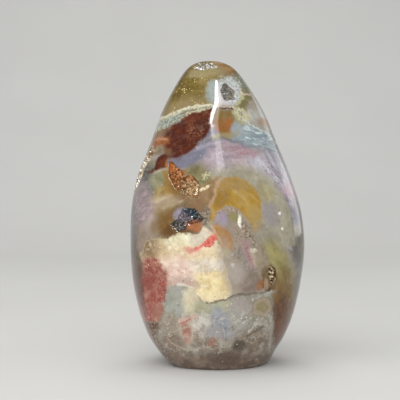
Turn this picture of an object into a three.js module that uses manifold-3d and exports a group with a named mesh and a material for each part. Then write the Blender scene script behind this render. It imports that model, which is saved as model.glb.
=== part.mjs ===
// Ocean jasper freeform: one polished, flame-shaped stone that stands on a small ground flat.
// Shallow hollows in its skin are lined with crusts of small quartz points, called druzy.
// Millimetres, +Z up. The origin is the middle of the foot, +X is to the right and -Y is the front.
import * as THREE from 'three';
import { mergeVertices } from 'three/addons/utils/BufferGeometryUtils.js';
import Module from 'manifold-3d';

const wasm = await Module();
wasm.setup();

// ---- Driving dimensions -------------------------------------------------------------------------

const HEIGHT = 110;
const HALF_WIDTH = 32;
const HALF_DEPTH = 25;

// How finely the stone's skin is faceted.
const AROUND = 48;
const FOOT_ROWS = 2;
const ROWS_PER_STRETCH = 3;

// A crust keeps this far from the stone around it.
const CRUST_GAP = 0.3;

// The opening inside a crust goes down this share of its hollow's depth.
const BOWL_SHARE = 0.68;

// A lobe's rim is uneven: waves round it, and how high each kind is as a share of the rim's reach.
const RIM_WAVES = [{ count: 3, height: 0.09 }, { count: 5, height: 0.06 }];

// Quartz points grow on the lower part of a hollow's wall, from straight down to this share of its depth.
const HIGHEST_POINT = 0.3;

// They lean this far to the middle of their lobe, and this far at random.
const LEAN_INWARD = 0.7;
const LEAN_AT_RANDOM = 0.4;

// Their widths vary round the crust's own, their lengths are this many widths, and their column,
// below the pyramid tip, is this share of the length.
const WIDTH_RANGE = [0.7, 1.3];
const LENGTH_RANGE = [1.1, 1.8];
const COLUMN_SHARE = 0.6;

// Slivers that the cuts leave are closed up below this size, and points this close are one.
const FINEST_EDGE = 0.06;
const SAME_POINT = 1e-4;

// How finely the skin is measured: steps round a section, a step to find a slope, rounds of halving.
const SECTION_STEPS = 120;
const SLOPE_STEP = 0.002;
const HALVINGS = 40;

// The outline from foot to tip. Each row is a height, then how far the stone reaches to the left,
// right, front and back there: shares of HEIGHT, HALF_WIDTH (left, right) and HALF_DEPTH (front, back).
const OUTLINE = [
  [0.000, -0.540, 0.560, -0.66, 0.64],
  [0.010, -0.590, 0.605, -0.71, 0.70],
  [0.044, -0.685, 0.670, -0.82, 0.79],
  [0.091, -0.790, 0.768, -0.91, 0.88],
  [0.164, -0.890, 0.872, -0.97, 0.95],
  [0.264, -0.966, 0.953, -1.00, 0.99],
  [0.391, -1.000, 1.000, -1.00, 1.00],
  [0.509, -0.988, 0.956, -0.96, 0.95],
  [0.618, -0.915, 0.838, -0.87, 0.87],
  [0.727, -0.772, 0.686, -0.74, 0.73],
  [0.836, -0.632, 0.528, -0.59, 0.56],
  [0.923, -0.474, 0.338, -0.43, 0.38],
  [0.973, -0.352, 0.200, -0.28, 0.22],
  [0.994, -0.230, 0.060, -0.15, 0.09],
  [1.000, -0.090, -0.090, -0.03, -0.03],
];

// The flats that were ground round the stone, as bearings in degrees (0 is right, -90 is the front)
// at the foot and at the tip. Two of them meet in the ridge down the front of the upper half.
const FLATS = [
  [-110, -128],
  [-66, -52],
  [-22, -10],
  [26, 30],
  [68, 72],
  [112, 112],
  [152, 150],
  [194, 190],
];
const SHARPNESS_AT_FOOT = 8;
const SHARPNESS_AT_TIP = 14;

// The stone's overall colour, and how rough its polish and the crusts are.
const STONE_COLOUR = 0xb09a82;
const STONE_ROUGHNESS = 0.1;
const CRUST_ROUGHNESS = 0.35;

// ---- The stone's skin ---------------------------------------------------------------------------

const STRETCHES = OUTLINE.length - 1;
const sides = smoothCurve(OUTLINE.map(([up, left, right]) =>
  new THREE.Vector3(up * HEIGHT, left * HALF_WIDTH, right * HALF_WIDTH)));
const frontAndBack = smoothCurve(OUTLINE.map(([up, , , front, back]) =>
  new THREE.Vector3(up * HEIGHT, front * HALF_DEPTH, back * HALF_DEPTH)));

function smoothCurve(points) {
  return new THREE.CatmullRomCurve3(points, false, 'catmullrom', 0.5);
}

// How far a soft polygon of the ground flats reaches from its middle, at one bearing.
function flatReach(up, bearing) {
  const sharpness = THREE.MathUtils.lerp(SHARPNESS_AT_FOOT, SHARPNESS_AT_TIP, up);
  let sum = 0;
  for (const [foot, tip] of FLATS) {
    const facing = THREE.MathUtils.degToRad(THREE.MathUtils.lerp(foot, tip, up));
    sum += Math.max(0, Math.cos(bearing - facing)) ** sharpness;
  }
  return sum ** (-1 / sharpness);
}

// The soft polygon's own box at one height, so that a section can be fitted to the outline.
const sectionBoxes = new Map();
function sectionBox(up) {
  const key = up.toFixed(4);
  if (!sectionBoxes.has(key)) {
    const box = new THREE.Box2();
    for (let step = 0; step < SECTION_STEPS; step += 1) {
      const bearing = step / SECTION_STEPS * 2 * Math.PI;
      const reach = flatReach(up, bearing);
      box.expandByPoint(new THREE.Vector2(Math.cos(bearing) * reach, Math.sin(bearing) * reach));
    }
    sectionBoxes.set(key, box);
  }
  return sectionBoxes.get(key);
}

// A point of the skin: along runs from 0 at the foot to 1 at the tip, and inward shrinks the section.
function skinPoint(along, bearing, inward = 1) {
  const side = sides.getPoint(along);
  const depth = frontAndBack.getPoint(along);
  const up = THREE.MathUtils.clamp(side.x / HEIGHT, 0, 1);
  const box = sectionBox(up);
  const reach = flatReach(up, bearing) * inward;
  const across = (Math.cos(bearing) * reach - box.min.x) / (box.max.x - box.min.x);
  const deep = (Math.sin(bearing) * reach - box.min.y) / (box.max.y - box.min.y);
  return new THREE.Vector3(
    THREE.MathUtils.lerp(side.y, side.z, across),
    THREE.MathUtils.lerp(depth.y, depth.z, deep),
    side.x,
  );
}

function skinNormal(along, bearing) {
  const here = skinPoint(along, bearing);
  const rise = skinPoint(along + SLOPE_STEP, bearing).sub(skinPoint(along - SLOPE_STEP, bearing));
  const turn = skinPoint(along, bearing + SLOPE_STEP).sub(skinPoint(along, bearing - SLOPE_STEP));
  const normal = turn.cross(rise).normalize();
  return normal.dot(new THREE.Vector3(here.x, here.y, 0)) < 0 ? normal.negate() : normal;
}

// The value between low and high at which a rising measure reaches its target.
function solve(measure, target, low, high) {
  for (let round = 0; round < HALVINGS; round += 1) {
    const middle = (low + high) / 2;
    if (measure(middle) < target) low = middle;
    else high = middle;
  }
  return (low + high) / 2;
}

// Places on the skin, named by height and either a distance to the right as seen from the front,
// or a bearing round the stone in degrees.
function seenFromFront(x, height) {
  const along = solve((value) => sides.getPoint(value).x, height, 0, 1);
  const bearing = solve((value) => skinPoint(along, value).x, x, -Math.PI, 0);
  return { along, bearing };
}

function atBearing(degrees, height) {
  const along = solve((value) => sides.getPoint(value).x, height, 0, 1);
  return { along, bearing: THREE.MathUtils.degToRad(degrees) };
}

// ---- Solids -------------------------------------------------------------------------------------

function toSolid(geometry) {
  geometry.deleteAttribute('normal');
  geometry.deleteAttribute('uv');
  const merged = mergeVertices(geometry, SAME_POINT);
  return new wasm.Manifold(new wasm.Mesh({
    numProp: 3,
    vertProperties: new Float32Array(merged.attributes.position.array),
    triVerts: new Uint32Array(merged.index.array),
  }));
}

function toGeometry(solid) {
  const mesh = solid.getMesh();
  const geometry = new THREE.BufferGeometry();
  geometry.setAttribute('position', new THREE.BufferAttribute(new Float32Array(mesh.vertProperties), 3));
  geometry.setIndex(new THREE.BufferAttribute(new Uint32Array(mesh.triVerts), 1));
  geometry.computeVertexNormals();
  return geometry;
}

// Numbers from 0 to 1 that are the same on every run, from a linear congruential generator.
const GENERATOR = { multiplier: 1664525, increment: 1013904223, modulus: 2 ** 32 };
function seeded(seed) {
  let state = seed;
  return () => {
    state = (state * GENERATOR.multiplier + GENERATOR.increment) % GENERATOR.modulus;
    return state / GENERATOR.modulus;
  };
}

function stoneBody() {
  const rows = FOOT_ROWS + STRETCHES * ROWS_PER_STRETCH;
  const geometry = new THREE.SphereGeometry(1, AROUND, rows).rotateX(Math.PI / 2);
  const position = geometry.attributes.position;
  for (let index = 0; index < position.count; index += 1) {
    const row = Math.acos(THREE.MathUtils.clamp(-position.getZ(index), -1, 1)) / Math.PI * rows;
    const bearing = Math.atan2(position.getY(index), position.getX(index));
    const along = Math.max(0, (row - FOOT_ROWS) / (rows - FOOT_ROWS));
    const inward = Math.min(1, row / FOOT_ROWS);
    const point = skinPoint(along, bearing, inward);
    if (row <= FOOT_ROWS) point.z = 0;
    position.setXYZ(index, point.x, point.y, point.z);
  }
  return toSolid(geometry);
}

// ---- Druzy hollows ------------------------------------------------------------------------------

// Each hollow is a few overlapping lobes sunk in the skin. A lobe has its place, its length and width,
// and the tilt of its length from level, in degrees, as seen from outside.
const HOLLOWS = [
  {
    crust: 'druzy_top', colour: 0xd8d4c8, depth: 1.6, lining: 0.5, points: 7, pointWidth: 1.3, seed: 1,
    lobes: [{ place: seenFromFront(-4.6, 107.6), length: 8.8, width: 4.6, tilt: 0 }],
  },
  {
    crust: 'druzy_eye', colour: 0xa9a8a4, depth: 3.0, lining: 0.8, points: 7, pointWidth: 1.2, seed: 2,
    lobes: [{ place: seenFromFront(3.5, 97.1), length: 6.6, width: 5.8, tilt: 80 }],
  },
  {
    crust: 'druzy_left_edge', colour: 0xe6dcc4, depth: 1.7, lining: 0.5, points: 12, pointWidth: 1.4, seed: 3,
    lobes: [
      { place: atBearing(-157, 74.2), length: 11.0, width: 5.6, tilt: 57 },
      { place: atBearing(-165, 67.2), length: 13.0, width: 5.4, tilt: 54 },
    ],
  },
  {
    crust: 'druzy_centre', colour: 0xc9ad83, depth: 2.4, lining: 0.7, points: 13, pointWidth: 1.6, seed: 4,
    lobes: [
      { place: seenFromFront(-14.6, 67.2), length: 11.5, width: 4.8, tilt: -57 },
      { place: seenFromFront(-9.9, 64.0), length: 9.0, width: 5.8, tilt: -45 },
    ],
  },
  {
    crust: 'druzy_dark', colour: 0x4a5568, depth: 2.6, lining: 0.7, points: 10, pointWidth: 1.4, seed: 5,
    lobes: [
      { place: seenFromFront(-9.8, 53.6), length: 8.6, width: 5.2, tilt: -10 },
      { place: seenFromFront(-13.2, 50.8), length: 5.8, width: 4.2, tilt: 10 },
    ],
  },
  {
    crust: 'druzy_right', colour: 0x7a5a38, depth: 1.7, lining: 0.5, points: 4, pointWidth: 1.1, seed: 6,
    lobes: [{ place: seenFromFront(18.5, 33.4), length: 6.4, width: 3.4, tilt: 100 }],
  },
];

// Axes at a lobe's middle: x along its length, y along its width, z straight out of the skin.
function lobeFrame({ place, tilt }) {
  const out = skinNormal(place.along, place.bearing);
  const up = new THREE.Vector3(0, 0, 1).addScaledVector(out, -out.z).normalize();
  const right = up.clone().cross(out);
  const turn = THREE.MathUtils.degToRad(tilt);
  const lengthwise = right.multiplyScalar(Math.cos(turn)).addScaledVector(up, Math.sin(turn));
  const widthwise = out.clone().cross(lengthwise);
  return new THREE.Matrix4()
    .makeBasis(lengthwise, widthwise, out)
    .setPosition(skinPoint(place.along, place.bearing));
}

// Where a lobe's wall lies in one direction: a flattened ball with an uneven rim. The wall has its
// depth below the skin, and its rim is smaller by inset.
function lobeWall(lobe, depth, inset, direction) {
  const around = Math.atan2(direction.y, direction.x);
  const uneven = RIM_WAVES.reduce(
    (reach, wave) => reach + wave.height * Math.sin(wave.count * around + lobe.length),
    1,
  );
  return new THREE.Vector3(
    direction.x * (lobe.length / 2 * uneven - inset),
    direction.y * (lobe.width / 2 * uneven - inset),
    direction.z * depth,
  );
}

function lobeSolid(lobe, depth, inset) {
  const geometry = new THREE.IcosahedronGeometry(1, 1);
  const position = geometry.attributes.position;
  for (let index = 0; index < position.count; index += 1) {
    const direction = new THREE.Vector3().fromBufferAttribute(position, index);
    const wall = lobeWall(lobe, depth, inset, direction);
    position.setXYZ(index, wall.x, wall.y, wall.z);
  }
  return toSolid(geometry.applyMatrix4(lobeFrame(lobe)));
}

function lobesTogether(hollow, depth, inset) {
  return hollow.lobes
    .map((lobe) => lobeSolid(lobe, depth, inset))
    .reduce((whole, lobe) => whole.add(lobe));
}

// The largest body of a solid, with any void that is sealed inside it filled.
function mainBody(solid) {
  return solid.decompose().reduce((main, body) => (body.volume() > main.volume() ? body : main));
}

// One quartz point: a six-sided column with a pyramid tip, standing on its own origin.
function quartzPoint(width, length) {
  const profile = [[0, 0], [width / 2, 0], [width / 2, length * COLUMN_SHARE], [0, length]];
  return new THREE.LatheGeometry(profile.map(([radius, up]) => new THREE.Vector2(radius, up)), 6)
    .rotateX(Math.PI / 2);
}

// The crust of one hollow: a lining along its wall, with quartz points that lean to the opening.
function crustSolid(hollow, skin) {
  const random = seeded(hollow.seed);
  const between = ([low, high]) => low + (high - low) * random();
  const rim = CRUST_GAP + hollow.lining;
  const bowlDepth = hollow.depth * BOWL_SHARE;
  const lining = lobesTogether(hollow, hollow.depth - CRUST_GAP, CRUST_GAP);
  let crust = lining.subtract(lobesTogether(hollow, bowlDepth, rim));
  for (let count = 0; count < hollow.points; count += 1) {
    const lobe = hollow.lobes[count % hollow.lobes.length];
    const around = random() * 2 * Math.PI;
    const down = between([HIGHEST_POINT, 1]);
    const level = Math.sqrt(1 - down * down);
    const direction = new THREE.Vector3(Math.cos(around) * level, Math.sin(around) * level, -down);
    const foot = lobeWall(lobe, bowlDepth, rim, direction);
    const lean = new THREE.Vector3(
      between([-LEAN_AT_RANDOM, LEAN_AT_RANDOM]) - LEAN_INWARD * direction.x,
      between([-LEAN_AT_RANDOM, LEAN_AT_RANDOM]) - LEAN_INWARD * direction.y,
      1,
    ).normalize();
    const width = hollow.pointWidth * between(WIDTH_RANGE);
    const point = quartzPoint(width, width * between(LENGTH_RANGE))
      .rotateZ(random() * Math.PI)
      .translate(0, 0, -width / 2)
      .applyQuaternion(new THREE.Quaternion().setFromUnitVectors(new THREE.Vector3(0, 0, 1), lean))
      .translate(foot.x, foot.y, foot.z)
      .applyMatrix4(lobeFrame(lobe));
    crust = crust.add(toSolid(point));
  }
  return mainBody(crust.intersect(lining).intersect(skin).simplify(FINEST_EDGE));
}

// ---- The model ----------------------------------------------------------------------------------

function piece(name, solid, colour, roughness) {
  const material = new THREE.MeshStandardMaterial({ color: colour, roughness, metalness: 0 });
  const mesh = new THREE.Mesh(toGeometry(solid), material);
  mesh.name = name;
  return mesh;
}

const oceanJasper = new THREE.Group();
const skin = stoneBody();
const hollowed = HOLLOWS
  .reduce((stone, hollow) => stone.subtract(lobesTogether(hollow, hollow.depth, 0)), skin)
  .simplify(FINEST_EDGE / 2);
oceanJasper.add(piece('stone', hollowed, STONE_COLOUR, STONE_ROUGHNESS));
for (const hollow of HOLLOWS) {
  oceanJasper.add(piece(hollow.crust, crustSolid(hollow, skin), hollow.colour, CRUST_ROUGHNESS));
}

export default oceanJasper;
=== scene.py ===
# A polished ocean jasper freeform that stands on its flat foot on a pale studio floor.
# Sizes are in millimetres, and become metres where a mesh, a light or the camera is placed.
import math
import random

import bmesh
import bpy
import numpy as np
from mathutils import Matrix, Vector, noise
from mathutils.bvhtree import BVHTree


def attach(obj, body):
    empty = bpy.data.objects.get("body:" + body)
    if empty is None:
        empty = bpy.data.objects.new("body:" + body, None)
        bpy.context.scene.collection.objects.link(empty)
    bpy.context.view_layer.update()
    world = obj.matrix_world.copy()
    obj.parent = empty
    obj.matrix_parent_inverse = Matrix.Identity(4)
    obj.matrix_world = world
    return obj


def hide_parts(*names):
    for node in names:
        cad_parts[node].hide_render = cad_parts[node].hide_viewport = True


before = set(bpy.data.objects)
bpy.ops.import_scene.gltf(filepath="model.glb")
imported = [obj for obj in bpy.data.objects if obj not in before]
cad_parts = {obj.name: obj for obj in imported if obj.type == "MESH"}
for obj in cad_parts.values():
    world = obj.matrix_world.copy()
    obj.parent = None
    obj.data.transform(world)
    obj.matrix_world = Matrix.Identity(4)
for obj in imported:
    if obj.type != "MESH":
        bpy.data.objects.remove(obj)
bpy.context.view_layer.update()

MM = 0.001
# Where the camera stands.
CAMERA = (-6.4, -311.7, 59.1)

# ---- The stone's form -------------------------------------------------------------------------

HEIGHT = 110.0
HALF_WIDTH = 32.0
HALF_DEPTH = 25.0

# From foot to tip: a height, then how far the stone reaches to the left, right, front and back,
# as shares of HEIGHT, HALF_WIDTH (left, right) and HALF_DEPTH (front, back).
OUTLINE = np.array([
    [0.000, -0.540, 0.560, -0.66, 0.64],
    [0.010, -0.590, 0.605, -0.71, 0.70],
    [0.044, -0.685, 0.670, -0.82, 0.79],
    [0.091, -0.790, 0.768, -0.91, 0.88],
    [0.164, -0.890, 0.872, -0.97, 0.95],
    [0.264, -0.966, 0.953, -1.00, 0.99],
    [0.391, -1.000, 1.000, -1.00, 1.00],
    [0.509, -0.988, 0.956, -0.96, 0.95],
    [0.618, -0.915, 0.838, -0.87, 0.87],
    [0.727, -0.772, 0.686, -0.74, 0.73],
    [0.836, -0.632, 0.528, -0.59, 0.56],
    [0.923, -0.474, 0.338, -0.43, 0.38],
    [0.973, -0.352, 0.200, -0.28, 0.22],
    [0.994, -0.230, 0.060, -0.15, 0.09],
    [1.000, -0.090, -0.090, -0.03, -0.03],
])

# Flats ground round the stone: the bearing each one faces at the foot and at the tip, in degrees
# (0 is right, -90 is the front). The first two meet in the ridge down the front.
FLATS = [(-110, -128), (-66, -52), (-22, -10), (26, 30), (68, 72), (112, 112), (152, 150), (194, 190)]
SHARPNESS_AT_FOOT = 8
SHARPNESS_AT_TIP = 14
# How finely the sections of the flats are measured: levels, and degrees between bearings.
SECTION_LEVELS = 81
BEARING_STEP = 1.5

# The ridge wanders sideways: heights, and how far it is pushed to the right there.
RIDGE_HEIGHTS = [0, 50, 70, 80, 86, 89.5, 93, 96, 101, 106, 110]
RIDGE_PUSH = [0, 0, -0.3, -0.6, -1.0, -0.2, 1.2, 1.3, 1.7, 0.9, 0]
# It is gone where the bearing turns away from the front: the higher the power, the sooner.
RIDGE_FADE = 4

# Worn seams in the skin: width, depth and points (x, height) down the front.
SEAMS = [
    (0.5, 0.16, [(-4.7, 24.5), (0.0, 25.0), (3.0, 25.7), (5.4, 26.8), (8.2, 27.3), (15.7, 27.1)]),
    (0.7, 0.22, [(3.3, 3.4), (5.6, 7.1), (7.2, 9.6), (8.7, 12.0), (10.8, 13.0), (14.1, 14.0)]),
    (0.9, 0.25, [(15.9, 31.7), (16.8, 27.1), (18.6, 24.5), (20.0, 22.3), (20.5, 18.0), (18.3, 14.5)]),
    (0.5, 0.20, [(0.7, 91.4), (3.7, 91.3), (4.9, 90.5)]),
]


def outline_at(along):
    """The outline's row at each share of the way from foot to tip, on a Catmull-Rom curve."""
    stretches = len(OUTLINE) - 1
    rows = np.vstack([2 * OUTLINE[0] - OUTLINE[1], OUTLINE, 2 * OUTLINE[-1] - OUTLINE[-2]])
    place = np.clip(along, 0, 1) * stretches
    index = np.minimum(place.astype(int), stretches - 1)
    t = (place - index)[:, None]
    a, b, c, d = (rows[index + step] for step in range(4))
    return 0.5 * (2 * b + (c - a) * t + (2 * a - 5 * b + 4 * c - d) * t ** 2
                  + (3 * b - a - 3 * c + d) * t ** 3)


def flat_reach(up, bearing):
    """How far a soft polygon of the ground flats reaches from its middle."""
    sharpness = SHARPNESS_AT_FOOT + (SHARPNESS_AT_TIP - SHARPNESS_AT_FOOT) * up
    total = 0
    for foot, tip in FLATS:
        facing = np.radians(foot + (tip - foot) * up)
        total = total + np.maximum(0, np.cos(bearing - facing)) ** sharpness
    return total ** (-1 / sharpness)


def section_boxes():
    """The soft polygon's own box at a run of levels, so that a section can be fitted to the outline."""
    levels = np.linspace(0, 1, SECTION_LEVELS)
    bearings = np.radians(np.arange(0, 360, BEARING_STEP))
    up, bearing = np.meshgrid(levels, bearings, indexing="ij")
    reach = flat_reach(up, bearing)
    x = np.cos(bearing) * reach
    y = np.sin(bearing) * reach
    return levels, x.min(1), x.max(1), y.min(1), y.max(1)


LEVELS, LEFTMOST, RIGHTMOST, FOREMOST, HINDMOST = section_boxes()


def skin_points(along, bearing, inward=1.0):
    """Points of the smooth skin, in millimetres. Inward shrinks the section to its middle."""
    row = outline_at(along)
    up = np.clip(row[:, 0], 0, 1)
    reach = flat_reach(up, bearing) * inward
    low_x, high_x = np.interp(up, LEVELS, LEFTMOST), np.interp(up, LEVELS, RIGHTMOST)
    low_y, high_y = np.interp(up, LEVELS, FOREMOST), np.interp(up, LEVELS, HINDMOST)
    across = (np.cos(bearing) * reach - low_x) / (high_x - low_x)
    deep = (np.sin(bearing) * reach - low_y) / (high_y - low_y)
    x = (row[:, 1] + (row[:, 2] - row[:, 1]) * across) * HALF_WIDTH
    y = (row[:, 3] + (row[:, 4] - row[:, 3]) * deep) * HALF_DEPTH
    z = row[:, 0] * HEIGHT
    front = np.clip(-np.sin(bearing), 0, 1) ** RIDGE_FADE * np.clip(inward, 0, 1)
    x = x + np.interp(z, RIDGE_HEIGHTS, RIDGE_PUSH) * front
    return np.stack([x, y, z], 1)


def skin_point(along, bearing):
    return Vector(skin_points(np.array([along]), np.array([bearing]))[0])


def skin_normal(along, bearing):
    step = 0.002
    here = skin_point(along, bearing)
    rise = skin_point(along + step, bearing) - skin_point(along - step, bearing)
    turn = skin_point(along, bearing + step) - skin_point(along, bearing - step)
    normal = turn.cross(rise).normalized()
    return -normal if normal.dot(Vector((here.x, here.y, 0))) < 0 else normal


def along_at_height(height):
    along = np.linspace(0, 1, 1401)
    return float(np.interp(height, outline_at(along)[:, 0] * HEIGHT, along))


def on_front(x, height):
    """The place on the skin at a distance to the right as seen from the front, and a height."""
    along = along_at_height(height)
    bearings = np.radians(np.linspace(-180, 0, 721))
    points = skin_points(np.full(len(bearings), along), bearings)
    return along, float(np.interp(x, points[:, 0], bearings))


def at_bearing(degrees, height):
    return along_at_height(height), math.radians(degrees)


# ---- Druzy hollows ----------------------------------------------------------------------------

# A hollow's rim wanders in waves: how many run round it, and how far each one moves it.
RIM_WAVES = [(3, 0.09), (5, 0.06)]
# The wall rises to the rim as an oval's does; the lower this power, the steeper it is at the rim.
WALL_POWER = 0.45
# Skin further than this from a lobe's own plane isn't in it, and FAR stands for any such distance.
LOBE_REACH = 6
FAR = 99.0


class Lobe:
    """One lobe of a hollow: axes along its length, across it and out of the skin."""

    def __init__(self, place, length, width, tilt):
        self.length = length
        self.width = width
        self.middle = skin_point(*place)
        self.out = skin_normal(*place)
        up = (Vector((0, 0, 1)) - self.out * self.out.z).normalized()
        right = up.cross(self.out)
        turn = math.radians(tilt)
        self.lengthwise = right * math.cos(turn) + up * math.sin(turn)
        self.widthwise = self.out.cross(self.lengthwise)

    def uneven(self, around):
        """How much further than an oval's the rim is, at an angle in the lobe's own plane."""
        return 1 + sum(size * np.sin(count * around + self.length) for count, size in RIM_WAVES)

    def share(self, points):
        """How far towards the rim each point lies: 0 in the middle, 1 on the rim."""
        offset = points - np.array(self.middle)
        u = offset @ np.array(self.lengthwise) / (self.length / 2)
        v = offset @ np.array(self.widthwise) / (self.width / 2)
        w = offset @ np.array(self.out)
        share = np.hypot(u, v) / self.uneven(np.arctan2(v, u))
        return np.where(np.abs(w) > LOBE_REACH, FAR, share)

    def point(self, u, v):
        """The point of the tangent plane at shares u, v of the half length and half width."""
        grown = float(self.uneven(math.atan2(v, u)))
        return (self.middle + self.lengthwise * (u * self.length / 2 * grown)
                + self.widthwise * (v * self.width / 2 * grown))


class Hollow:
    """A hollow of a few lobes, and the count, the widths and the rise over the rim of its points."""

    def __init__(self, crust, depth, lobes, count, smallest, largest, seed, proud=0.25):
        self.crust = crust
        self.depth = depth
        self.lobes = lobes
        self.count = count
        self.smallest = smallest
        self.largest = largest
        self.seed = seed
        self.proud = proud

    def wall(self, share):
        """How deep a lobe is at a share of the way from its middle to its rim."""
        return self.depth * (1 - share ** 2) ** WALL_POWER

    def depths(self, points):
        """How deep the hollow is at each point of the skin."""
        deepest = np.zeros(len(points))
        for lobe in self.lobes:
            deepest = np.maximum(deepest, self.wall(np.clip(lobe.share(points), 0, 1)))
        return deepest


def front_lobe(x, height, length, width, tilt):
    return Lobe(on_front(x, height), length, width, tilt)


def side_lobe(bearing, height, length, width, tilt):
    return Lobe(at_bearing(bearing, height), length, width, tilt)


HOLLOWS = [
    Hollow("druzy_top", 1.6, [front_lobe(-4.6, 107.6, 8.8, 4.6, 0)], 170, 0.35, 0.9, 11),
    Hollow("druzy_eye", 3.0, [front_lobe(3.5, 97.1, 6.6, 5.8, 80)], 260, 0.35, 0.8, 12),
    Hollow("druzy_left_edge", 1.7, [
        side_lobe(-157, 74.2, 11.0, 5.6, 57),
        side_lobe(-165, 67.2, 13.0, 5.4, 54),
    ], 560, 0.35, 1.1, 13, proud=0.9),
    Hollow("druzy_centre", 2.4, [
        front_lobe(-14.6, 67.2, 11.5, 4.8, -57),
        front_lobe(-9.9, 64.0, 9.0, 5.8, -45),
    ], 480, 0.4, 1.3, 14),
    Hollow("druzy_dark", 2.6, [
        front_lobe(-9.8, 53.6, 8.6, 5.2, -10),
        front_lobe(-13.2, 50.8, 5.8, 4.2, 10),
    ], 330, 0.35, 1.1, 15),
    Hollow("druzy_right", 1.7, [front_lobe(18.5, 33.4, 6.4, 3.4, 100)], 130, 0.35, 0.9, 16),
]


# ---- The stone's mesh -------------------------------------------------------------------------

SKIN_SUBDIVISIONS = 7
# The mesh is made finer up to this share of a lobe, and where a seam is deeper than this.
FINE_SHARE = 1.25
FINE_SEAM = 0.002
# The polished skin swells by this much over swells of this size, but not at the very foot.
UNDULATION = 0.10
SWELL_SIZE = 14
FLAT_FOOT = 1.5
# The whole skin is set in by this much.
INSET = 0.02
# The walls of the hollows are rough: height, lumps to a millimetre, and the depth it starts at.
ROUGHNESS = 0.18
ROUGH_LUMPS = 1.6
ROUGH_FROM = 0.4


def skin_from_sphere(directions):
    """Skin points for directions on a ball, spread evenly from foot to tip."""
    fine = np.linspace(0, 1, 801)
    row = outline_at(fine)
    half_width = (row[:, 2] - row[:, 1]) / 2 * HALF_WIDTH
    step = np.hypot(np.diff(half_width), np.diff(row[:, 0]) * HEIGHT)
    run = np.concatenate([[0], np.cumsum(step)])
    foot = half_width[0]
    turn = np.arccos(np.clip(-directions[:, 2], -1, 1)) / math.pi
    travelled = turn * (foot + run[-1])
    along = np.interp(travelled - foot, run, fine)
    inward = np.clip(travelled / foot, 0, 1)
    bearing = np.arctan2(directions[:, 1], directions[:, 0])
    points = skin_points(along, bearing, inward)
    points[inward < 1, 2] = 0
    return points


def seam_depths(points):
    """How deep the worn seams are at each point of the skin."""
    depth = np.zeros(len(points))
    for width, deepest, line in SEAMS:
        nearest = np.full(len(points), FAR)
        for (x0, z0), (x1, z1) in zip(line, line[1:]):
            run = np.array([x1 - x0, z1 - z0])
            offset = points[:, [0, 2]] - np.array([x0, z0])
            share = np.clip(offset @ run / (run @ run), 0, 1)
            nearest = np.minimum(nearest, np.hypot(*(offset - share[:, None] * run).T))
        groove = deepest * np.exp(-(nearest / (width / 2)) ** 2)
        depth = np.maximum(depth, np.where(points[:, 1] < 0, groove, 0))
    return depth


def needs_finer(points):
    """Where the mesh is made finer: in and round the hollows, and along the seams."""
    near = seam_depths(points) > FINE_SEAM
    for hollow in HOLLOWS:
        for lobe in hollow.lobes:
            near |= lobe.share(points) < FINE_SHARE
    return near


def directions_of(bm):
    return np.array([vert.co.normalized() for vert in bm.verts])


def refine(bm):
    near = needs_finer(skin_from_sphere(directions_of(bm)))
    bm.verts.index_update()
    edges = [edge for edge in bm.edges if all(near[vert.index] for vert in edge.verts)]
    bmesh.ops.subdivide_edges(bm, edges=edges, cuts=1, use_grid_fill=True)
    bmesh.ops.triangulate(bm, faces=[face for face in bm.faces if len(face.verts) > 3])
    for vert in bm.verts:
        vert.co.normalize()


def outward(bm):
    bm.normal_update()
    return np.array([vert.normal[:] for vert in bm.verts])


def place_verts(bm, points):
    for vert, point in zip(bm.verts, points):
        vert.co = point


def finish_mesh(name, bm, smooth):
    """A new object at the origin from a mesh in millimetres."""
    bmesh.ops.scale(bm, vec=(MM, MM, MM), verts=bm.verts)
    for face in bm.faces:
        face.smooth = smooth
    mesh = bpy.data.meshes.new(name)
    bm.to_mesh(mesh)
    bm.free()
    piece = bpy.data.objects.new(name, mesh)
    bpy.context.scene.collection.objects.link(piece)
    return piece


def make_stone():
    bm = bmesh.new()
    bmesh.ops.create_icosphere(bm, subdivisions=SKIN_SUBDIVISIONS, radius=1)
    refine(bm)
    refine(bm)
    points = skin_from_sphere(directions_of(bm))
    place_verts(bm, points)
    skin_tree = BVHTree.FromBMesh(bm)
    normals = outward(bm)
    swell = np.array([noise.noise(Vector(point) / SWELL_SIZE) for point in points]) * UNDULATION
    swell[points[:, 2] < FLAT_FOOT] = 0
    sunk = seam_depths(points)
    hollowed = np.zeros(len(points))
    for hollow in HOLLOWS:
        hollowed = np.maximum(hollowed, hollow.depths(points))
    grain = np.array([noise.noise(Vector(point) * ROUGH_LUMPS) for point in points])
    hollowed += np.where(hollowed > ROUGH_FROM, ROUGHNESS * grain, 0)
    place_verts(bm, points + normals * (swell - sunk - hollowed - INSET)[:, None])
    return finish_mesh("polished_stone", bm, smooth=True), skin_tree


# ---- Quartz crusts ----------------------------------------------------------------------------

# How far above a lobe's plane the skin is looked for.
CAST_FROM = 8
# The lining under the points: its share of the lobe, the share of the depth its top lies at, how much
# it is raised there, how far its underside is sunk in the stone, and how close it may come to the skin.
LINING_SHARE = 0.97
LINING_DEPTH = 0.86
LINING_RISE = 0.05
LINING_ROOT = 0.25
LINING_COVER = 0.02
# Its bumps: height, and lumps to a millimetre. Its tint: the middle, how far it varies, and lumps.
# The lining's middle tint is low, so it takes darker colours than the points: painted shade between them.
LINING_BUMPS = [(0.14, 1.9), (0.10, 4.7)]
LINING_TINT = (0.25, 0.2, 2.4)
# A quartz point: the share of its length that is column, the radius at the column's top as a share
# of the width, and the range of lengths as a share of the width.
COLUMN_SHARE = 0.6
COLUMN_TOP = 0.46
POINT_LENGTHS = (1.2, 2.2)
# Where points stand: how near the rim, how deep their feet are rooted in the lining, the share of
# the hollow's depth they may fill, how much they lean, and a power that makes wide ones rare.
POINTS_SHARE = 0.96
POINTS_ROOT = 0.12
POINTS_FILL = 0.75
POINTS_LEAN = 0.5
RARITY = 3


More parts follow.
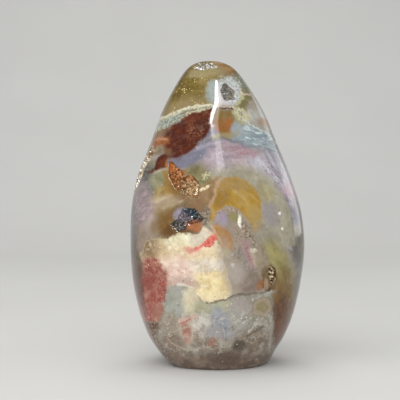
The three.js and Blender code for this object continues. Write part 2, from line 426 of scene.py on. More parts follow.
def skin_below(skin_tree, point, out):
    """The point of the skin under a point of a lobe's tangent plane."""
    hit = skin_tree.ray_cast(point + out * CAST_FROM, -out)[0]
    return hit if hit is not None else point


def add_pad(bm, hollow, lobe, skin_tree, tint_layer):
    """The bumpy lining that the quartz points of one lobe stand on."""
    made = bmesh.ops.create_icosphere(bm, subdivisions=4, radius=1)
    middle, spread, tint_lumps = LINING_TINT
    for vert in made["verts"]:
        u, v, side = vert.co
        rim = min(1.0, math.hypot(u, v))
        floor = hollow.wall(rim)
        skin = skin_below(skin_tree, lobe.point(u * LINING_SHARE, v * LINING_SHARE), lobe.out)
        bump = sum(height * noise.noise(skin * lumps) for height, lumps in LINING_BUMPS)
        depth = floor * LINING_DEPTH - LINING_RISE + bump if side > 0 else floor + LINING_ROOT
        vert.co = skin - lobe.out * max(depth, LINING_COVER)
        vert[tint_layer] = middle + spread * noise.noise(skin * tint_lumps)


def add_quartz_point(bm, foot, axis, width, length, spin, tint, tint_layer):
    """A six-sided column that ends in a pyramid."""
    turn = axis.to_track_quat("Z", "Y").to_matrix().to_4x4() @ Matrix.Rotation(spin, 4, "Z")
    column = length * COLUMN_SHARE
    centre = Matrix.Translation(foot + axis * column / 2)
    made = bmesh.ops.create_cone(
        bm, cap_ends=True, cap_tris=False, segments=6, radius1=width / 2,
        radius2=width * COLUMN_TOP, depth=column, matrix=centre @ turn)
    faces = {face for vert in made["verts"] for face in vert.link_faces}
    top = max(faces, key=lambda face: face.calc_center_median().dot(axis))
    tip = bmesh.ops.poke(bm, faces=[top], offset=length - column)
    for vert in made["verts"] + tip["verts"]:
        vert[tint_layer] = tint


def make_crust(hollow, skin_tree):
    """A crust of quartz points: a lining with closed points grown on it, in one mesh."""
    dice = random.Random(hollow.seed)
    bm = bmesh.new()
    tint_layer = bm.verts.layers.float.new("tint")
    for lobe in hollow.lobes:
        add_pad(bm, hollow, lobe, skin_tree, tint_layer)
    areas = [lobe.length * lobe.width for lobe in hollow.lobes]
    for _ in range(hollow.count):
        lobe = dice.choices(hollow.lobes, areas)[0]
        around = dice.uniform(0, 2 * math.pi)
        rim = math.sqrt(dice.random()) * POINTS_SHARE
        u, v = rim * math.cos(around), rim * math.sin(around)
        skin = skin_below(skin_tree, lobe.point(u, v), lobe.out)
        depth = float(hollow.depths(np.array([skin]))[0])
        width = hollow.smallest + (hollow.largest - hollow.smallest) * dice.random() ** RARITY
        length = min(width * dice.uniform(*POINT_LENGTHS), depth * POINTS_FILL + hollow.proud)
        lean = (lobe.lengthwise * (dice.uniform(-POINTS_LEAN, POINTS_LEAN) - POINTS_LEAN * u)
                + lobe.widthwise * (dice.uniform(-POINTS_LEAN, POINTS_LEAN) - POINTS_LEAN * v))
        axis = (lobe.out + lean).normalized()
        foot = skin - lobe.out * (depth * LINING_DEPTH + POINTS_ROOT)
        add_quartz_point(bm, foot, axis, width, length, dice.uniform(0, 1), dice.random(), tint_layer)
    return finish_mesh("points_of_" + hollow.crust, bm, smooth=False)


# ---- Colours ----------------------------------------------------------------------------------


def tone(red, green, blue):
    """A colour given by its screen values from 0 to 255, as the shader wants it."""
    return tuple(((value / 255 + 0.055) / 1.055) ** 2.4 if value > 10 else value / 255 / 12.92
                 for value in (red, green, blue)) + (1.0,)


# ---- Node recipes -----------------------------------------------------------------------------

# The span of the curves that draw seams and bands: across, and up.
CURVE_X = (-36.0, 36.0)
CURVE_Z = (-2.0, 112.0)
# No place on the stone is further than this along any axis.
REACH = 128.0
# The turns that bring each axis round to x.
TURNS_TO_X = [(0, 0, 0), (0, 0, -math.pi / 2), (0, math.pi / 2, 0)]
# The bands open out sideways towards the back, along the lines of sight from the camera's x and y,
# and have their true width on the plane of the stone's own front. They are fixed in the stone, and
# stay where they are when it is seen from anywhere else.
BAND_FOCUS = CAMERA[:2]
FRONT_PLANE = -24.0
# A stroke fades out over this much to either side of its ends.
STROKE_END = 0.4
# The stretch of a cloud's values over which it is eased from nothing to full.
CLOUD_EDGES = (0.34, 0.66)
# The shares of a thread's width and of a speck's radius that are fully covered.
THREAD_CORE = 0.3
SPECK_CORE = 0.6


class Recipe:
    """Nodes that build a colour up in coats, each laid over the last through a mask."""

    def __init__(self, tree):
        self.tree = tree
        self.place = self.add("ShaderNodeTexCoord").outputs["Object"]
        self.place = self.moved(stretch=(MM, MM, MM))
        self.colour = None

    def add(self, kind, **settings):
        node = self.tree.nodes.new(kind)
        for key, value in settings.items():
            setattr(node, key, value)
        return node

    def feed(self, socket, value):
        if isinstance(value, bpy.types.NodeSocket):
            self.tree.links.new(value, socket)
        else:
            socket.default_value = value

    def along(self, axis):
        """How far the place is along an axis, in millimetres."""
        node = self.add("ShaderNodeMapping", vector_type="POINT")
        self.feed(node.inputs["Vector"], self.place)
        node.inputs["Location"].default_value = (0.5, 0, 0)
        node.inputs["Rotation"].default_value = TURNS_TO_X[axis]
        node.inputs["Scale"].default_value = [0.5 / REACH] * 3
        slope = self.add("ShaderNodeTexGradient")
        self.feed(slope.inputs["Vector"], node.outputs[0])
        return self.times(slope.outputs["Fac"], 2 * REACH, -REACH)

    def maths(self, operation, a, b=0.0, c=0.0):
        node = self.add("ShaderNodeMath", operation=operation)
        for socket, value in zip(node.inputs, (a, b, c)):
            self.feed(socket, value)
        return node.outputs[0]

    def times(self, value, factor, offset=0.0):
        return self.maths("MULTIPLY_ADD", value, factor, offset)

    def ease(self, value, start, end, low=0.0, high=1.0):
        """A value eased from low at start to high at end."""
        node = self.add("ShaderNodeMapRange", interpolation_type="SMOOTHSTEP", clamp=False)
        for socket, number in zip(node.inputs, (value, start, end, low, high)):
            self.feed(socket, number)
        return node.outputs[0]

    def both(self, *masks):
        whole = masks[0]
        for mask in masks[1:]:
            whole = self.maths("MULTIPLY", whole, mask)
        return whole

    def grain(self, start, end):
        """A mask of the fine grit, eased from start to end."""
        return self.ease(self.grit, start, end)

    def shade(self, colour):
        """A colour as a node's output or four numbers, from what a paint function may give for one.

        That is a node's output, three screen values, or a list of two such colours, which the fog
        breaks up into each other, or another mask if it is put first in the list.
        """
        if isinstance(colour, list):
            *mask, first, second = colour
            return self.mix(mask[0] if mask else self.fog, first, second)
        return tone(*colour) if isinstance(colour, tuple) else colour

    def mix(self, share, first, second):
        first, second = self.shade(first), self.shade(second)
        node = self.add("ShaderNodeMix", data_type="RGBA")
        self.feed(node.inputs["Factor"], share)
        self.feed(node.inputs[6], first)
        self.feed(node.inputs[7], second)
        return node.outputs[2]

    def moved(self, shift=(0, 0, 0), stretch=(1, 1, 1), tilt=0.0):
        """The place, changed so that a pattern drawn on it is stretched, tilted and then shifted."""
        node = self.add("ShaderNodeMapping", vector_type="TEXTURE")
        self.feed(node.inputs["Vector"], self.place)
        node.inputs["Location"].default_value = shift
        node.inputs["Rotation"].default_value = (0, -math.radians(tilt), 0)
        node.inputs["Scale"].default_value = stretch
        return node.outputs[0]

    def cloud(self, size, detail=3.0, rough=0.5, place=None, bend=0.0, colour=False):
        """Cloudy noise whose lumps are about size millimetres."""
        node = self.add("ShaderNodeTexNoise")
        self.feed(node.inputs["Vector"], self.place if place is None else place)
        node.inputs["Scale"].default_value = 1 / size
        node.inputs["Detail"].default_value = detail
        node.inputs["Roughness"].default_value = rough
        node.inputs["Distortion"].default_value = bend
        return node.outputs["Color" if colour else "Fac"]

    def flow(self, tilt, size=1.5, length=3.5):
        """Streaks from 0 to 1 that run along a tilt, as seen from the front."""
        place = self.moved((size * 9, 0, 0), (length, length, 1), tilt)
        return self.ease(self.cloud(size, 3, 0.55, place, bend=0.35), *CLOUD_EDGES)

    def threads(self, size, width, shift=0.0):
        """A mask of thin threads that wander as a cloud's own contours do."""
        cloud = self.cloud(size, 3, 0.6, self.moved((shift, -shift, shift)))
        side = self.maths("ABSOLUTE", self.maths("SUBTRACT", cloud, 0.5))
        return self.ease(side, width, width * THREAD_CORE)

    def cells(self, size, place=None):
        node = self.add("ShaderNodeTexVoronoi")
        self.feed(node.inputs["Vector"], self.place if place is None else place)
        node.inputs["Scale"].default_value = 1 / size
        return node.outputs

    def parts(self, colour):
        node = self.add("ShaderNodeSeparateColor")
        self.feed(node.inputs[0], colour)
        return node.outputs

    def ramp(self, value, stops):
        node = self.add("ShaderNodeValToRGB")
        self.feed(node.inputs[0], value)
        elements = node.color_ramp.elements
        while len(elements) < len(stops):
            elements.new(0.5)
        for element, (position, colour) in zip(elements, stops):
            element.position = position
            element.color = self.shade(colour)
        return node.outputs[0]

    def wave(self, bends):
        """Sets x, y and z: the place, bent by clouds so that every edge drawn on it is uneven."""
        bent = [self.along(axis) for axis in range(3)]
        away = self.maths("SUBTRACT", bent[1], BAND_FOCUS[1])
        narrowing = self.maths("DIVIDE", FRONT_PLANE - BAND_FOCUS[1], away)
        aside = self.maths("SUBTRACT", bent[0], BAND_FOCUS[0])
        bent[0] = self.times(aside, narrowing, BAND_FOCUS[0])
        for size, reach in bends:
            push = self.parts(self.cloud(size, 4, 0.6, colour=True))
            bent = [self.times(push[axis], reach, bent[axis]) for axis in range(3)]
        middle = sum(reach for _, reach in bends) / 2
        self.x, self.y, self.z = (self.maths("SUBTRACT", place, middle) for place in bent)

    def curve(self, points, upright=False):
        """The signed distance up from a line of points, or to the right of it if it is upright."""
        run, rise = (self.z, self.x) if upright else (self.x, self.z)
        run_span, rise_span = (CURVE_Z, CURVE_X) if upright else (CURVE_X, CURVE_Z)
        run_length = run_span[1] - run_span[0]
        rise_length = rise_span[1] - rise_span[0]
        share = self.times(run, 1 / run_length, -run_span[0] / run_length)
        node = self.add("ShaderNodeFloatCurve")
        self.feed(node.inputs["Value"], share)
        line = node.mapping.curves[0]
        ordered = sorted((z, x) for x, z in points) if upright else sorted(points)
        for index, (start, height) in enumerate(ordered):
            spot = ((start - run_span[0]) / run_length, (height - rise_span[0]) / rise_length)
            if index < 2:
                line.points[index].location = spot
            else:
                line.points.new(*spot)
        node.mapping.extend = "HORIZONTAL"
        node.mapping.update()
        return self.maths("SUBTRACT", rise, self.times(node.outputs[0], rise_length, rise_span[0]))

    # These are masks of one side of an edge, eased over soft millimetres to either side of it. The
    # edge is a line of points, a distance from such a line, or one place along x or z.

    def over(self, edge, soft=0.4):
        return self.ease(self.curve(edge) if isinstance(edge, list) else edge, -soft, soft)

    def under(self, edge, soft=0.4):
        return self.over(edge, -soft)

    def right_of(self, edge, soft):
        if isinstance(edge, list):
            return self.over(self.curve(edge, upright=True), soft)
        return self.ease(self.x, edge - soft, edge + soft)

    def left_of(self, edge, soft):
        return self.right_of(edge, -soft)

    def above(self, z, soft):
        return self.ease(self.z, z - soft, z + soft)

    def below(self, z, soft):
        return self.above(z, -soft)

    def reach(self, at, size, tilt=0.0):
        """The square of the distance from a centre (x, z), in units of an oval's half sizes."""
        turn = math.radians(tilt)
        axes = [(math.cos(turn) / size[0], math.sin(turn) / size[0]),
                (-math.sin(turn) / size[1], math.cos(turn) / size[1])]
        total = 0
        for along_x, along_z in axes:
            share = self.times(self.x, along_x, -(at[0] * along_x + at[1] * along_z))
            share = self.times(self.z, along_z, share)
            total = self.times(share, share, total)
        return total

    def oval(self, at, size, tilt=0.0, soft=0.5):
        """A mask of an oval at (x, z) with half sizes (across, up), eased over soft millimetres."""
        share = soft / min(size)
        return self.ease(self.reach(at, size, tilt), (1 + share) ** 2, max(1 - share, 0) ** 2)

    def stroke(self, points, width, upright=False, soft=0.25):
        """A mask of a line of even width through the points, which fades out at both ends."""
        side = self.maths("ABSOLUTE", self.curve(points, upright))
        line = self.ease(side, width / 2 + soft, max(width / 2 - soft, 0))
        runs = [z if upright else x for x, z in points]
        run = self.z if upright else self.x
        start = self.ease(run, min(runs) - STROKE_END, min(runs) + STROKE_END)
        end = self.ease(run, max(runs) + STROKE_END, max(runs) - STROKE_END)
        return self.both(line, start, end)

    def specks(self, size, fill, share, seed=0.0):
        """A mask of scattered round specks: cells of a size, filled to a radius, in a share of them."""
        cell = self.cells(size, place=self.moved((seed, seed * 0.7, -seed)))
        chosen = self.parts(cell["Color"])[0]
        return self.both(self.ease(cell["Distance"], fill, fill * SPECK_CORE),
                         self.ease(chosen, 1 - share, 1.02 - share))

    def coat(self, mask, colour, within=None, strength=1.0):
        """Lays a colour over the rest where the mask is, inside another mask if there is one."""
        if within is not None:
            mask = self.both(mask, within)
        if strength < 1:
            mask = self.maths("MULTIPLY", mask, strength)
        if self.colour is None:
            self.colour = self.shade(colour)
        else:
            self.colour = self.mix(mask, self.colour, colour)

    def line(self, points, width, soft, colour, within=None, strength=1.0, upright=False):
        self.coat(self.stroke(points, width, upright, soft), colour, within, strength)

    def patches(self, rows, within=None):
        """Lays ovals: for each a place, half sizes, a tilt, a softness, a colour and maybe a strength."""
        for at, size, tilt, soft, colour, *strength in rows:
            self.coat(self.oval(at, size, tilt, soft), colour, within, *strength)


# What every layer is handed: the colour so far, the bent place, and the stone's own clouds and streaks.
SHARED = ("colour", "x", "z", "fog", "grit", "rising", "crest", "falling")


class Material(Recipe):
    """A recipe that ends in a material."""

    def __init__(self, name):
        self.material = bpy.data.materials.new(name)
        self.material.use_nodes = True
        super().__init__(self.material.node_tree)
        self.shader = self.tree.nodes["Principled BSDF"]

    def lay(self, paint):
        """Lays one region's coats over the rest, by a paint function."""
        layer = Layer(paint.__name__)
        paint(layer)
        node = self.add("ShaderNodeGroup", node_tree=layer.finished())
        for name in SHARED:
            self.feed(node.inputs[name], getattr(self, name))
        self.colour = node.outputs["colour"]


class Layer(Recipe):
    """The coats of one region, in a node group of its own."""

    def __init__(self, name):
        super().__init__(bpy.data.node_groups.new(name, "ShaderNodeTree"))
        for shared in SHARED:
            kind = "NodeSocketColor" if shared == "colour" else "NodeSocketFloat"
            self.tree.interface.new_socket(name=shared, in_out="INPUT", socket_type=kind)
        self.tree.interface.new_socket(name="colour", in_out="OUTPUT", socket_type="NodeSocketColor")
        given = self.add("NodeGroupInput")
        for shared in SHARED:
            setattr(self, shared, given.outputs[shared])

    def finished(self):
        self.feed(self.add("NodeGroupOutput").inputs["colour"], self.colour)
        return self.tree


# ---- The jasper -------------------------------------------------------------------------------

# Lines that part the stone's bands, as seen from the front: (x, height).
VEIN_TOP = [(-34, 84), (-21.0, 88.6), (-16.4, 90.0), (-12.9, 91.3), (-6.2, 92.2), (-1.5, 92.3),
            (4.8, 91.6), (7.8, 91.0), (10.4, 89.6), (13.5, 87.9), (17.7, 85.6), (24, 80), (34, 68)]
VEIN_FOOT = [(-34, 76), (-21.4, 83.6), (-18.4, 85.2), (-16.3, 86.6), (-13.7, 88.0), (-9.5, 89.8),
             (-3.7, 91.0), (-1.5, 91.3), (4.5, 90.4), (6.2, 88.4), (10.4, 86.1), (13.4, 85.1),
             (16.4, 83.1), (21.9, 80.0), (34, 66)]
BROWN_FOOT = [(-34, 74), (-21.4, 76.5), (-18.4, 74.0), (-14.1, 73.4), (-12.0, 74.4), (-9.6, 75.8),
              (-8.0, 77.6), (-5.4, 80.4), (-2.9, 84.4), (0, 86.6), (8, 88)]
LAVENDER_FOOT = [(-34, 66), (-20.5, 73.0), (-17.8, 71.4), (-15.2, 70.9), (-12.0, 69.7), (-9.6, 70.1),
                 (-7.0, 71.8), (-0.9, 73.7), (6.0, 76.1), (10.4, 76.6), (16.9, 74.0), (34, 58)]
OLIVE_TOP = [(-12, 62), (-5.0, 66.0), (-2.4, 68.7), (1.0, 70.2), (6.0, 70.8), (10.3, 70.6), (15.2, 68.9),
             (20.3, 63.9), (23.0, 58.0), (25, 50)]
OCHRE_TOP = [(-12, 46), (-2.0, 57.6), (-0.6, 62.5), (1.0, 65.9), (3.7, 66.9), (7.1, 66.5), (10.5, 64.5),
             (12.9, 61.5), (14.4, 57.4), (15.0, 53.7), (15.6, 49), (17, 42)]
OCHRE_FOOT = [(-12, 40), (-2.0, 52.0), (-0.3, 54.4), (1.4, 56.2), (3.7, 56.8), (6.4, 56.1), (8.6, 54.4),
              (10.4, 51.8), (11.4, 48.6), (14, 43)]
CREAM_TOP = [(-34, 24), (-27.4, 38.0), (-25.6, 41.6), (-23.8, 44.3), (-20.8, 45.4), (-17.9, 46.0),
             (-14.0, 47.4), (-9.5, 47.4), (-6.4, 48.2), (-4.6, 50.2), (-3.4, 48.8), (-1.4, 46.0),
             (0.6, 43.3), (1.4, 40.2), (2.0, 37.2), (3.0, 33.0), (5.4, 27)]
SEAM = [(-22.8, 16.2), (-20.6, 17.4), (-19.3, 21), (-18.6, 24.5), (-17.6, 29.0), (-13.9, 29.8),
        (-9.5, 29.6), (-7.1, 26.6), (-4.0, 24.7), (0.0, 25.0), (3.0, 25.7), (5.4, 26.8), (8.2, 27.3),
        (15.7, 27.1), (22, 30)]


def paint_left(on):
    """The grey-green, mustard and lilac stretch between the left edge and the hollows."""
    left = on.left_of(-4, 2)
    below = on.under(LAVENDER_FOOT, 0.6)
    on.coat(below, [on.rising, (130, 122, 102), (158, 144, 114)], left)
    on.patches([
        ((-24.8, 66), (4.2, 5.8), 10, 1.8, [on.rising, (84, 82, 78), (108, 104, 100)]),
        ((-19.6, 66.4), (3.4, 4.8), 10, 2, [(122, 120, 88), (146, 142, 112)]),
        ((-19.4, 69.8), (2.6, 0.9), 14, 0.8, (156, 160, 150)),
        ((-15.4, 61), (6, 3.6), 16, 2, [(138, 110, 54), (168, 140, 84)]),
        ((-8.8, 60), (4.4, 3.2), 0, 1.8, (128, 98, 64)),
        ((-19.2, 57.2), (6.2, 2.8), 16, 1.8, [on.rising, (156, 136, 110), (178, 160, 134)]),
    ])
    on.coat(on.ease(on.rising, 0.62, 0.9), (190, 172, 134), on.oval((-17.6, 57.8), (7, 2), 20, 1.4), 0.6)
    rose = [on.rising, (134, 120, 120), (162, 144, 144)]
    on.patches([
        ((-26.4, 55.6), (3.8, 7.4), 0, 2.4, rose),
        ((-26, 45), (3.4, 5), 20, 2, [(132, 118, 102), (150, 132, 116)]),
        ((-30.6, 53), (2, 12), 0, 1.6, (92, 88, 90)),
        ((-17.5, 53), (5.8, 3.4), 16, 2.2, [(134, 114, 80), (156, 134, 100)]),
        ((-22.8, 50.4), (2.4, 3), 20, 1.8, (164, 150, 138), 0.8),
    ])
    pink_dashes = on.ease(on.flow(62, 1, 3), 0.7, 0.95)
    on.coat(pink_dashes, (190, 158, 166), on.oval((-25.2, 55.6), (2.4, 5), 0, 1.6), 0.6)
    silver = on.both(on.specks(1.4, 0.24, 0.3, 7), on.oval((-23, 66), (5, 5.6), 0, 1.6))
    on.coat(silver, (188, 190, 182), strength=0.6)
    # Cream and mauve sparkles along the left edge, beside its crust.
    edge = on.left_of([(-20.4, 86), (-21.8, 82), (-25, 75), (-27.8, 68), (-29.8, 61), (-31.4, 56)], 1.3)
    edge = on.both(edge, on.above(60, 3), on.below(85, 2))
    on.coat(edge, [on.grain(0.44, 0.62), (104, 82, 62), (206, 190, 164)], strength=0.85)


def paint_lavender(on):
    """The lavender and blue band, with pink and lilac below it on the right."""
    below = on.under(BROWN_FOOT, 1.3)
    below_vein = on.under(VEIN_FOOT, 0.5)
    lilac = [on.crest, (100, 96, 108), (134, 131, 143)]
    on.coat(on.both(below, on.left_of(3, 2), on.right_of(-17.6, 1.8), on.over(LAVENDER_FOOT, 1.8)), lilac)
    blue = [on.crest, (112, 126, 132), (148, 158, 162)]
    on.coat(on.both(below_vein, on.right_of(4.5, 2.4),
                    on.over([(0, 78.5), (8, 77.5), (14, 77), (20, 73), (30, 64)], 2)), blue)
    on.patches([((8.3, 82.4), (2.4, 3.6), -10, 1.8, (144, 156, 158))], below_vein)
    on.patches([
        ((3, 77.8), (4.6, 2.2), -6, 2, [(80, 78, 92), (108, 102, 116)]),
        ((20.4, 78), (1.8, 5), 25, 1.4, (96, 108, 110)),
        ((-10.6, 73.6), (5.4, 1.7), 24, 1.2, (114, 113, 128), 0.8),
    ])
    light = on.stroke([(-16.2, 73.4), (-11.9, 74.8), (-8.2, 76.7), (-3.7, 78.6), (0.2, 79.3), (4.7, 78.6),
                       (8, 77.4)], 0.7, soft=0.8)
    on.coat(light, (176, 172, 184), strength=0.55)
    glints = on.ease(on.flow(-20, 0.8, 3.4), 0.62, 0.9)
    on.coat(glints, (206, 216, 216), on.oval((10.5, 82.6), (4.8, 2.6), -26, 1.4), 0.85)
    on.coat(glints, (182, 190, 196), on.oval((19, 78.4), (3.4, 4.4), 30, 1.4), 0.5)


def paint_pink(on):
    """Pink and lilac cloud right of the middle, with rose spots."""
    pink = [on.crest, (156, 134, 140), (182, 164, 166)]
    on.patches([
        ((9.5, 73.4), (10, 3.6), -18, 2.4, pink),
        ((-0.6, 71.6), (4.6, 4.6), 0, 2.2, [(152, 138, 144), (180, 166, 172)]),
        ((-5, 69.4), (3.4, 2.6), 20, 1.8, (150, 138, 134)),
        ((14.4, 71), (4, 2.6), -34, 1.8, [(168, 162, 170), (190, 186, 192)]),
    ])
    rose = on.both(on.oval((8.6, 75.8), (3, 1.3), -12, 1.2), on.grain(0.5, 0.62))
    on.coat(rose, (184, 100, 112), strength=0.75)
    violet = on.both(on.oval((1.6, 71.6), (5.6, 4), 0, 1.6), on.specks(1.2, 0.3, 0.3, 9))
    on.coat(violet, (132, 100, 126), strength=0.7)
    spray = on.both(on.oval((4.5, 72.6), (11, 4.6), -10, 2), on.specks(1.1, 0.22, 0.28, 17))
    on.coat(spray, (216, 208, 212), strength=0.8)


def paint_right(on):
    """The pale lilac flank on the right, purple grey further down."""
    flank = on.right_of([(30, 34), (26, 44), (19.4, 55), (17.4, 62), (15.4, 70), (14, 76)], 2.4)
    lilac = [on.falling, (150, 144, 152), (184, 180, 186)]
    on.coat(flank, lilac, on.below(76, 3))
    crimson = on.both(on.oval((18.6, 68.2), (1.4, 5.2), 38, 1.2), on.grain(0.5, 0.62))
    on.coat(crimson, (140, 84, 104), strength=0.7)
    on.coat(on.both(on.specks(1.3, 0.3, 0.4, 5), on.oval((20.6, 66.4), (2.4, 9), 34, 1.6)),
            (158, 100, 124), strength=0.6)
    on.patches([((24.6, 61.4), (2, 3), 20, 1.8, [on.grit, (172, 140, 148), (196, 172, 178)])])
    purple = [on.falling, (120, 112, 122), (150, 142, 150)]
    on.patches([
        ((23, 54.6), (6.6, 4.8), -30, 2.4, purple),
        ((28.2, 46), (3.4, 12), 0, 2.4, [on.falling, (88, 82, 80), (108, 101, 98)]),
        ((25.2, 49.4), (2.6, 4), -10, 2, (104, 98, 118), 0.7),
    ])
    glow = on.ease(on.falling, 0.66, 0.92)
    on.coat(glow, (196, 198, 208), on.oval((20.6, 49), (4.6, 9), 18, 2), 0.45)
    streaks = on.ease(on.flow(-56, 0.9, 5), 0.6, 0.9)
    on.coat(streaks, (208, 204, 212), on.oval((19.6, 66), (3.6, 9), 34, 2), 0.6)


def paint_brown(on):
    """The brown-red patch under the vein, orange at both ends."""
    below_vein = on.under(VEIN_FOOT, 0.3)
    above_foot = on.over(BROWN_FOOT, 1)
    # The left end: grey brown, an orange and salmon blob, then a cream grey patch.
    edge = on.both(on.left_of(-16.6, 1), on.above(75.6, 1.2), on.under(VEIN_FOOT, 0.6))
    on.coat(edge, [(106, 78, 56), (138, 112, 88)])
    patch = on.both(below_vein, above_foot, on.left_of(-0.8, 1.4),
                    on.right_of([(-16, 72), (-18.4, 75), (-19.4, 78), (-19.2, 81), (-17, 84.5),
                                 (-14.4, 87), (-10, 90)], 1.2))
    on.coat(patch, [(70, 22, 2), (92, 38, 10)])
    on.coat(on.ease(on.fog, 0.4, 1), (116, 62, 34), on.both(patch, on.oval((-12, 86.4), (5, 3), 20, 2)),
            0.5)
    on.patches([((-19.6, 79.8), (2.2, 1.7), 20, 1, [(124, 66, 28), (160, 98, 58)])])
    on.line([(-21.2, 80.6), (-19.6, 81.3), (-17.8, 80.2)], 0.7, 0.5, (196, 140, 108), strength=0.7)
    on.patches([
        ((-21, 76.6), (2.4, 1.4), 10, 1, [(98, 82, 62), (136, 120, 96)]),
        ((-17.4, 75.4), (1.2, 1), 0, 0.8, (110, 78, 54)),
    ])
    # Right of the ridge it turns to orange-brown, with olive at its edge.
    ember = on.both(on.oval((2.6, 86.4), (4.5, 4.9), 20, 1.5), below_vein)
    on.coat(ember, [on.ease(on.z, 89.5, 84.5), (130, 104, 56), (142, 92, 42)])
    on.patches([((3.8, 86), (1.6, 1.4), 0, 1.2, (160, 102, 48), 0.7)], ember)
    on.patches([
        ((6.3, 87), (1.2, 3), -10, 1, (146, 144, 110)),
        ((6.2, 83.4), (1.8, 2.2), 0, 1.4, (150, 158, 162)),
    ], below_vein)
    on.patches([((1.8, 81.6), (3.4, 0.9), 10, 1, (150, 138, 100), 0.8)])
    # Small wavy wrinkles of pale brown.
    wrinkles = on.ease(on.flow(0, 0.5, 1.8), 0.7, 0.92)
    on.coat(wrinkles, (176, 122, 90), on.oval((-8, 82.6), (2.2, 1.5), 30, 1), 0.55)
    triangle = on.both(on.over([(-25, 68.6), (-22.4, 69), (-18, 70), (-16, 70.2)], 0.7),
                       on.under([(-25, 69), (-22.6, 70.4), (-20.4, 74.2), (-18, 74.6), (-16, 73.4)], 0.7),
                       on.left_of(-17.2, 0.8))
    on.coat(triangle, [(66, 20, 2), (104, 48, 18)])
    on.line([(-22.4, 69.2), (-19.6, 69), (-17.4, 69.9)], 0.6, 0.6, (180, 156, 128), strength=0.6)


def paint_ochre(on):
    """The ochre arch, its olive halo, and the peach wedge on its left, which is partly a painted
    reflection.
    """
    halo = on.both(on.under(OLIVE_TOP, 2), on.over(OCHRE_FOOT, 1.4), on.right_of(-5, 2))
    on.coat(halo, [(150, 142, 122), (170, 164, 144)])
    on.patches([
        ((16.2, 61), (1.9, 3.4), 30, 1.6, [(154, 142, 104), (172, 162, 128)]),
        ((17.6, 54.6), (2.2, 3.4), 20, 1.8, (150, 142, 138)),
    ])
    outer = on.under(OCHRE_TOP, 0.9)
    inner = on.over(OCHRE_FOOT, 0.6)
    arch = on.both(outer, inner, on.left_of(14.8, 1), on.right_of(-2.8, 0.6), on.above(48, 1.6))
    sheen = on.ease(on.flow(-50, 3.2, 3), 0.1, 0.9)
    on.coat(arch, [sheen, (166, 128, 46), (178, 146, 76)])
    on.patches([
        ((0.4, 59.6), (2.4, 3.4), -20, 1.6, (140, 104, 34), 0.85),
        ((4.6, 65), (4.8, 1.9), -6, 1.6, (158, 128, 76), 0.8),
        ((12.8, 52.6), (2, 4), 8, 1.2, (168, 142, 88), 0.8),
    ], arch)
    shine = on.stroke([(4.6, 62.4), (6.6, 61.2), (8.6, 59.2), (9.4, 57.8)], 0.5, soft=0.8)
    on.coat(shine, (190, 166, 108), strength=0.5)
    # The peach wedge and the pale line down its sharp right edge: partly the stone's colour, partly a
    # painted reflection of a broad pale light on the ridge.
    right_edge = on.left_of([(-3, 53), (-2.6, 57), (-1, 61), (0, 64.2), (1, 67.4)], 0.35)
    peach = on.both(right_edge,
                    on.right_of([(-3.9, 52.6), (-6.6, 56), (-7.6, 60), (-6.2, 64.4), (-4.2, 66.6)], 1.2),
                    on.under([(-9, 63.5), (-3.9, 66.2), (0.9, 67.4), (4, 67.6)], 1.4), on.above(52.8, 1))
    on.coat(peach, [(128, 98, 62), (150, 120, 84)])
    on.line([(-3, 53.8), (-2.9, 57), (-1.4, 61), (-0.5, 64), (0.4, 66.6)], 0.9, 0.6, (190, 160, 126),
            strength=0.6, upright=True)


def paint_cap(on):
    """The olive-gold cap with its eye, above the pale vein."""
    above = on.over(VEIN_TOP)
    near_vein = on.under([(x, z + 3.2) for x, z in VEIN_TOP], 3)
    gold = [(94, 76, 24), (126, 106, 46)]
    on.coat(above, [near_vein, gold, (140, 122, 84)])
    on.patches([
        ((3, 106.5), (5, 3), 0, 2, [(118, 84, 38), (150, 116, 66)]),
        ((-4.8, 104.9), (5.6, 1.6), 0, 1.2, [on.grit, (122, 108, 66), (166, 152, 112)]),
        ((-4, 101.4), (2.4, 2), 0, 1.4, (146, 128, 78), 0.7),
    ], above)
    # A pale ash-grey patch on the upper right: partly its own colour, partly a painted reflection.
    ash_and_sheen = [on.falling, (160, 157, 148), (194, 191, 182)]
    on.patches([((13.6, 90.8), (3.4, 5.2), 28, 2, ash_and_sheen)])
    on.patches([((10.8, 95), (1.6, 3.6), 24, 1.4, (154, 142, 128))], above)
    on.patches([((16, 87), (1.8, 1.2), 0, 1.2, (150, 122, 92))])
    on.patches([
        ((8.9, 93.8), (1.2, 4.4), -8, 1.1, (114, 106, 64)),
        ((8.4, 101.8), (1.6, 3.4), 40, 1.2, (112, 108, 88)),
    ], above)
    on.coat(on.left_of([(-19.4, 88), (-17.6, 93), (-14.8, 98), (-12.4, 101.6), (-10, 105)], 1.2),
            (84, 66, 26), above, 0.7)
    # Painted glints: pale gold flecks in loose strings, for light caught in tiny pits of the cap.
    glint_flecks = on.specks(0.9, 0.3, 0.5)
    strings = [((-11.4, 97.2), (3, 1), -6), ((-6.6, 101.6), (3, 1.5), -30),
               ((-13.6, 91.8), (1.2, 1.2), 0), ((-6.4, 95), (2.4, 2.4), 0), ((-12.6, 100), (2, 2.6), 50)]
    for at, size, tilt in strings:
        on.coat(glint_flecks, (236, 216, 152), on.oval(at, size, tilt, 0.8), 0.9)
    dust = on.both(on.specks(1.2, 0.2, 0.35, 14), above, on.left_of(-2, 3))
    on.coat(dust, (182, 160, 98), strength=0.7)


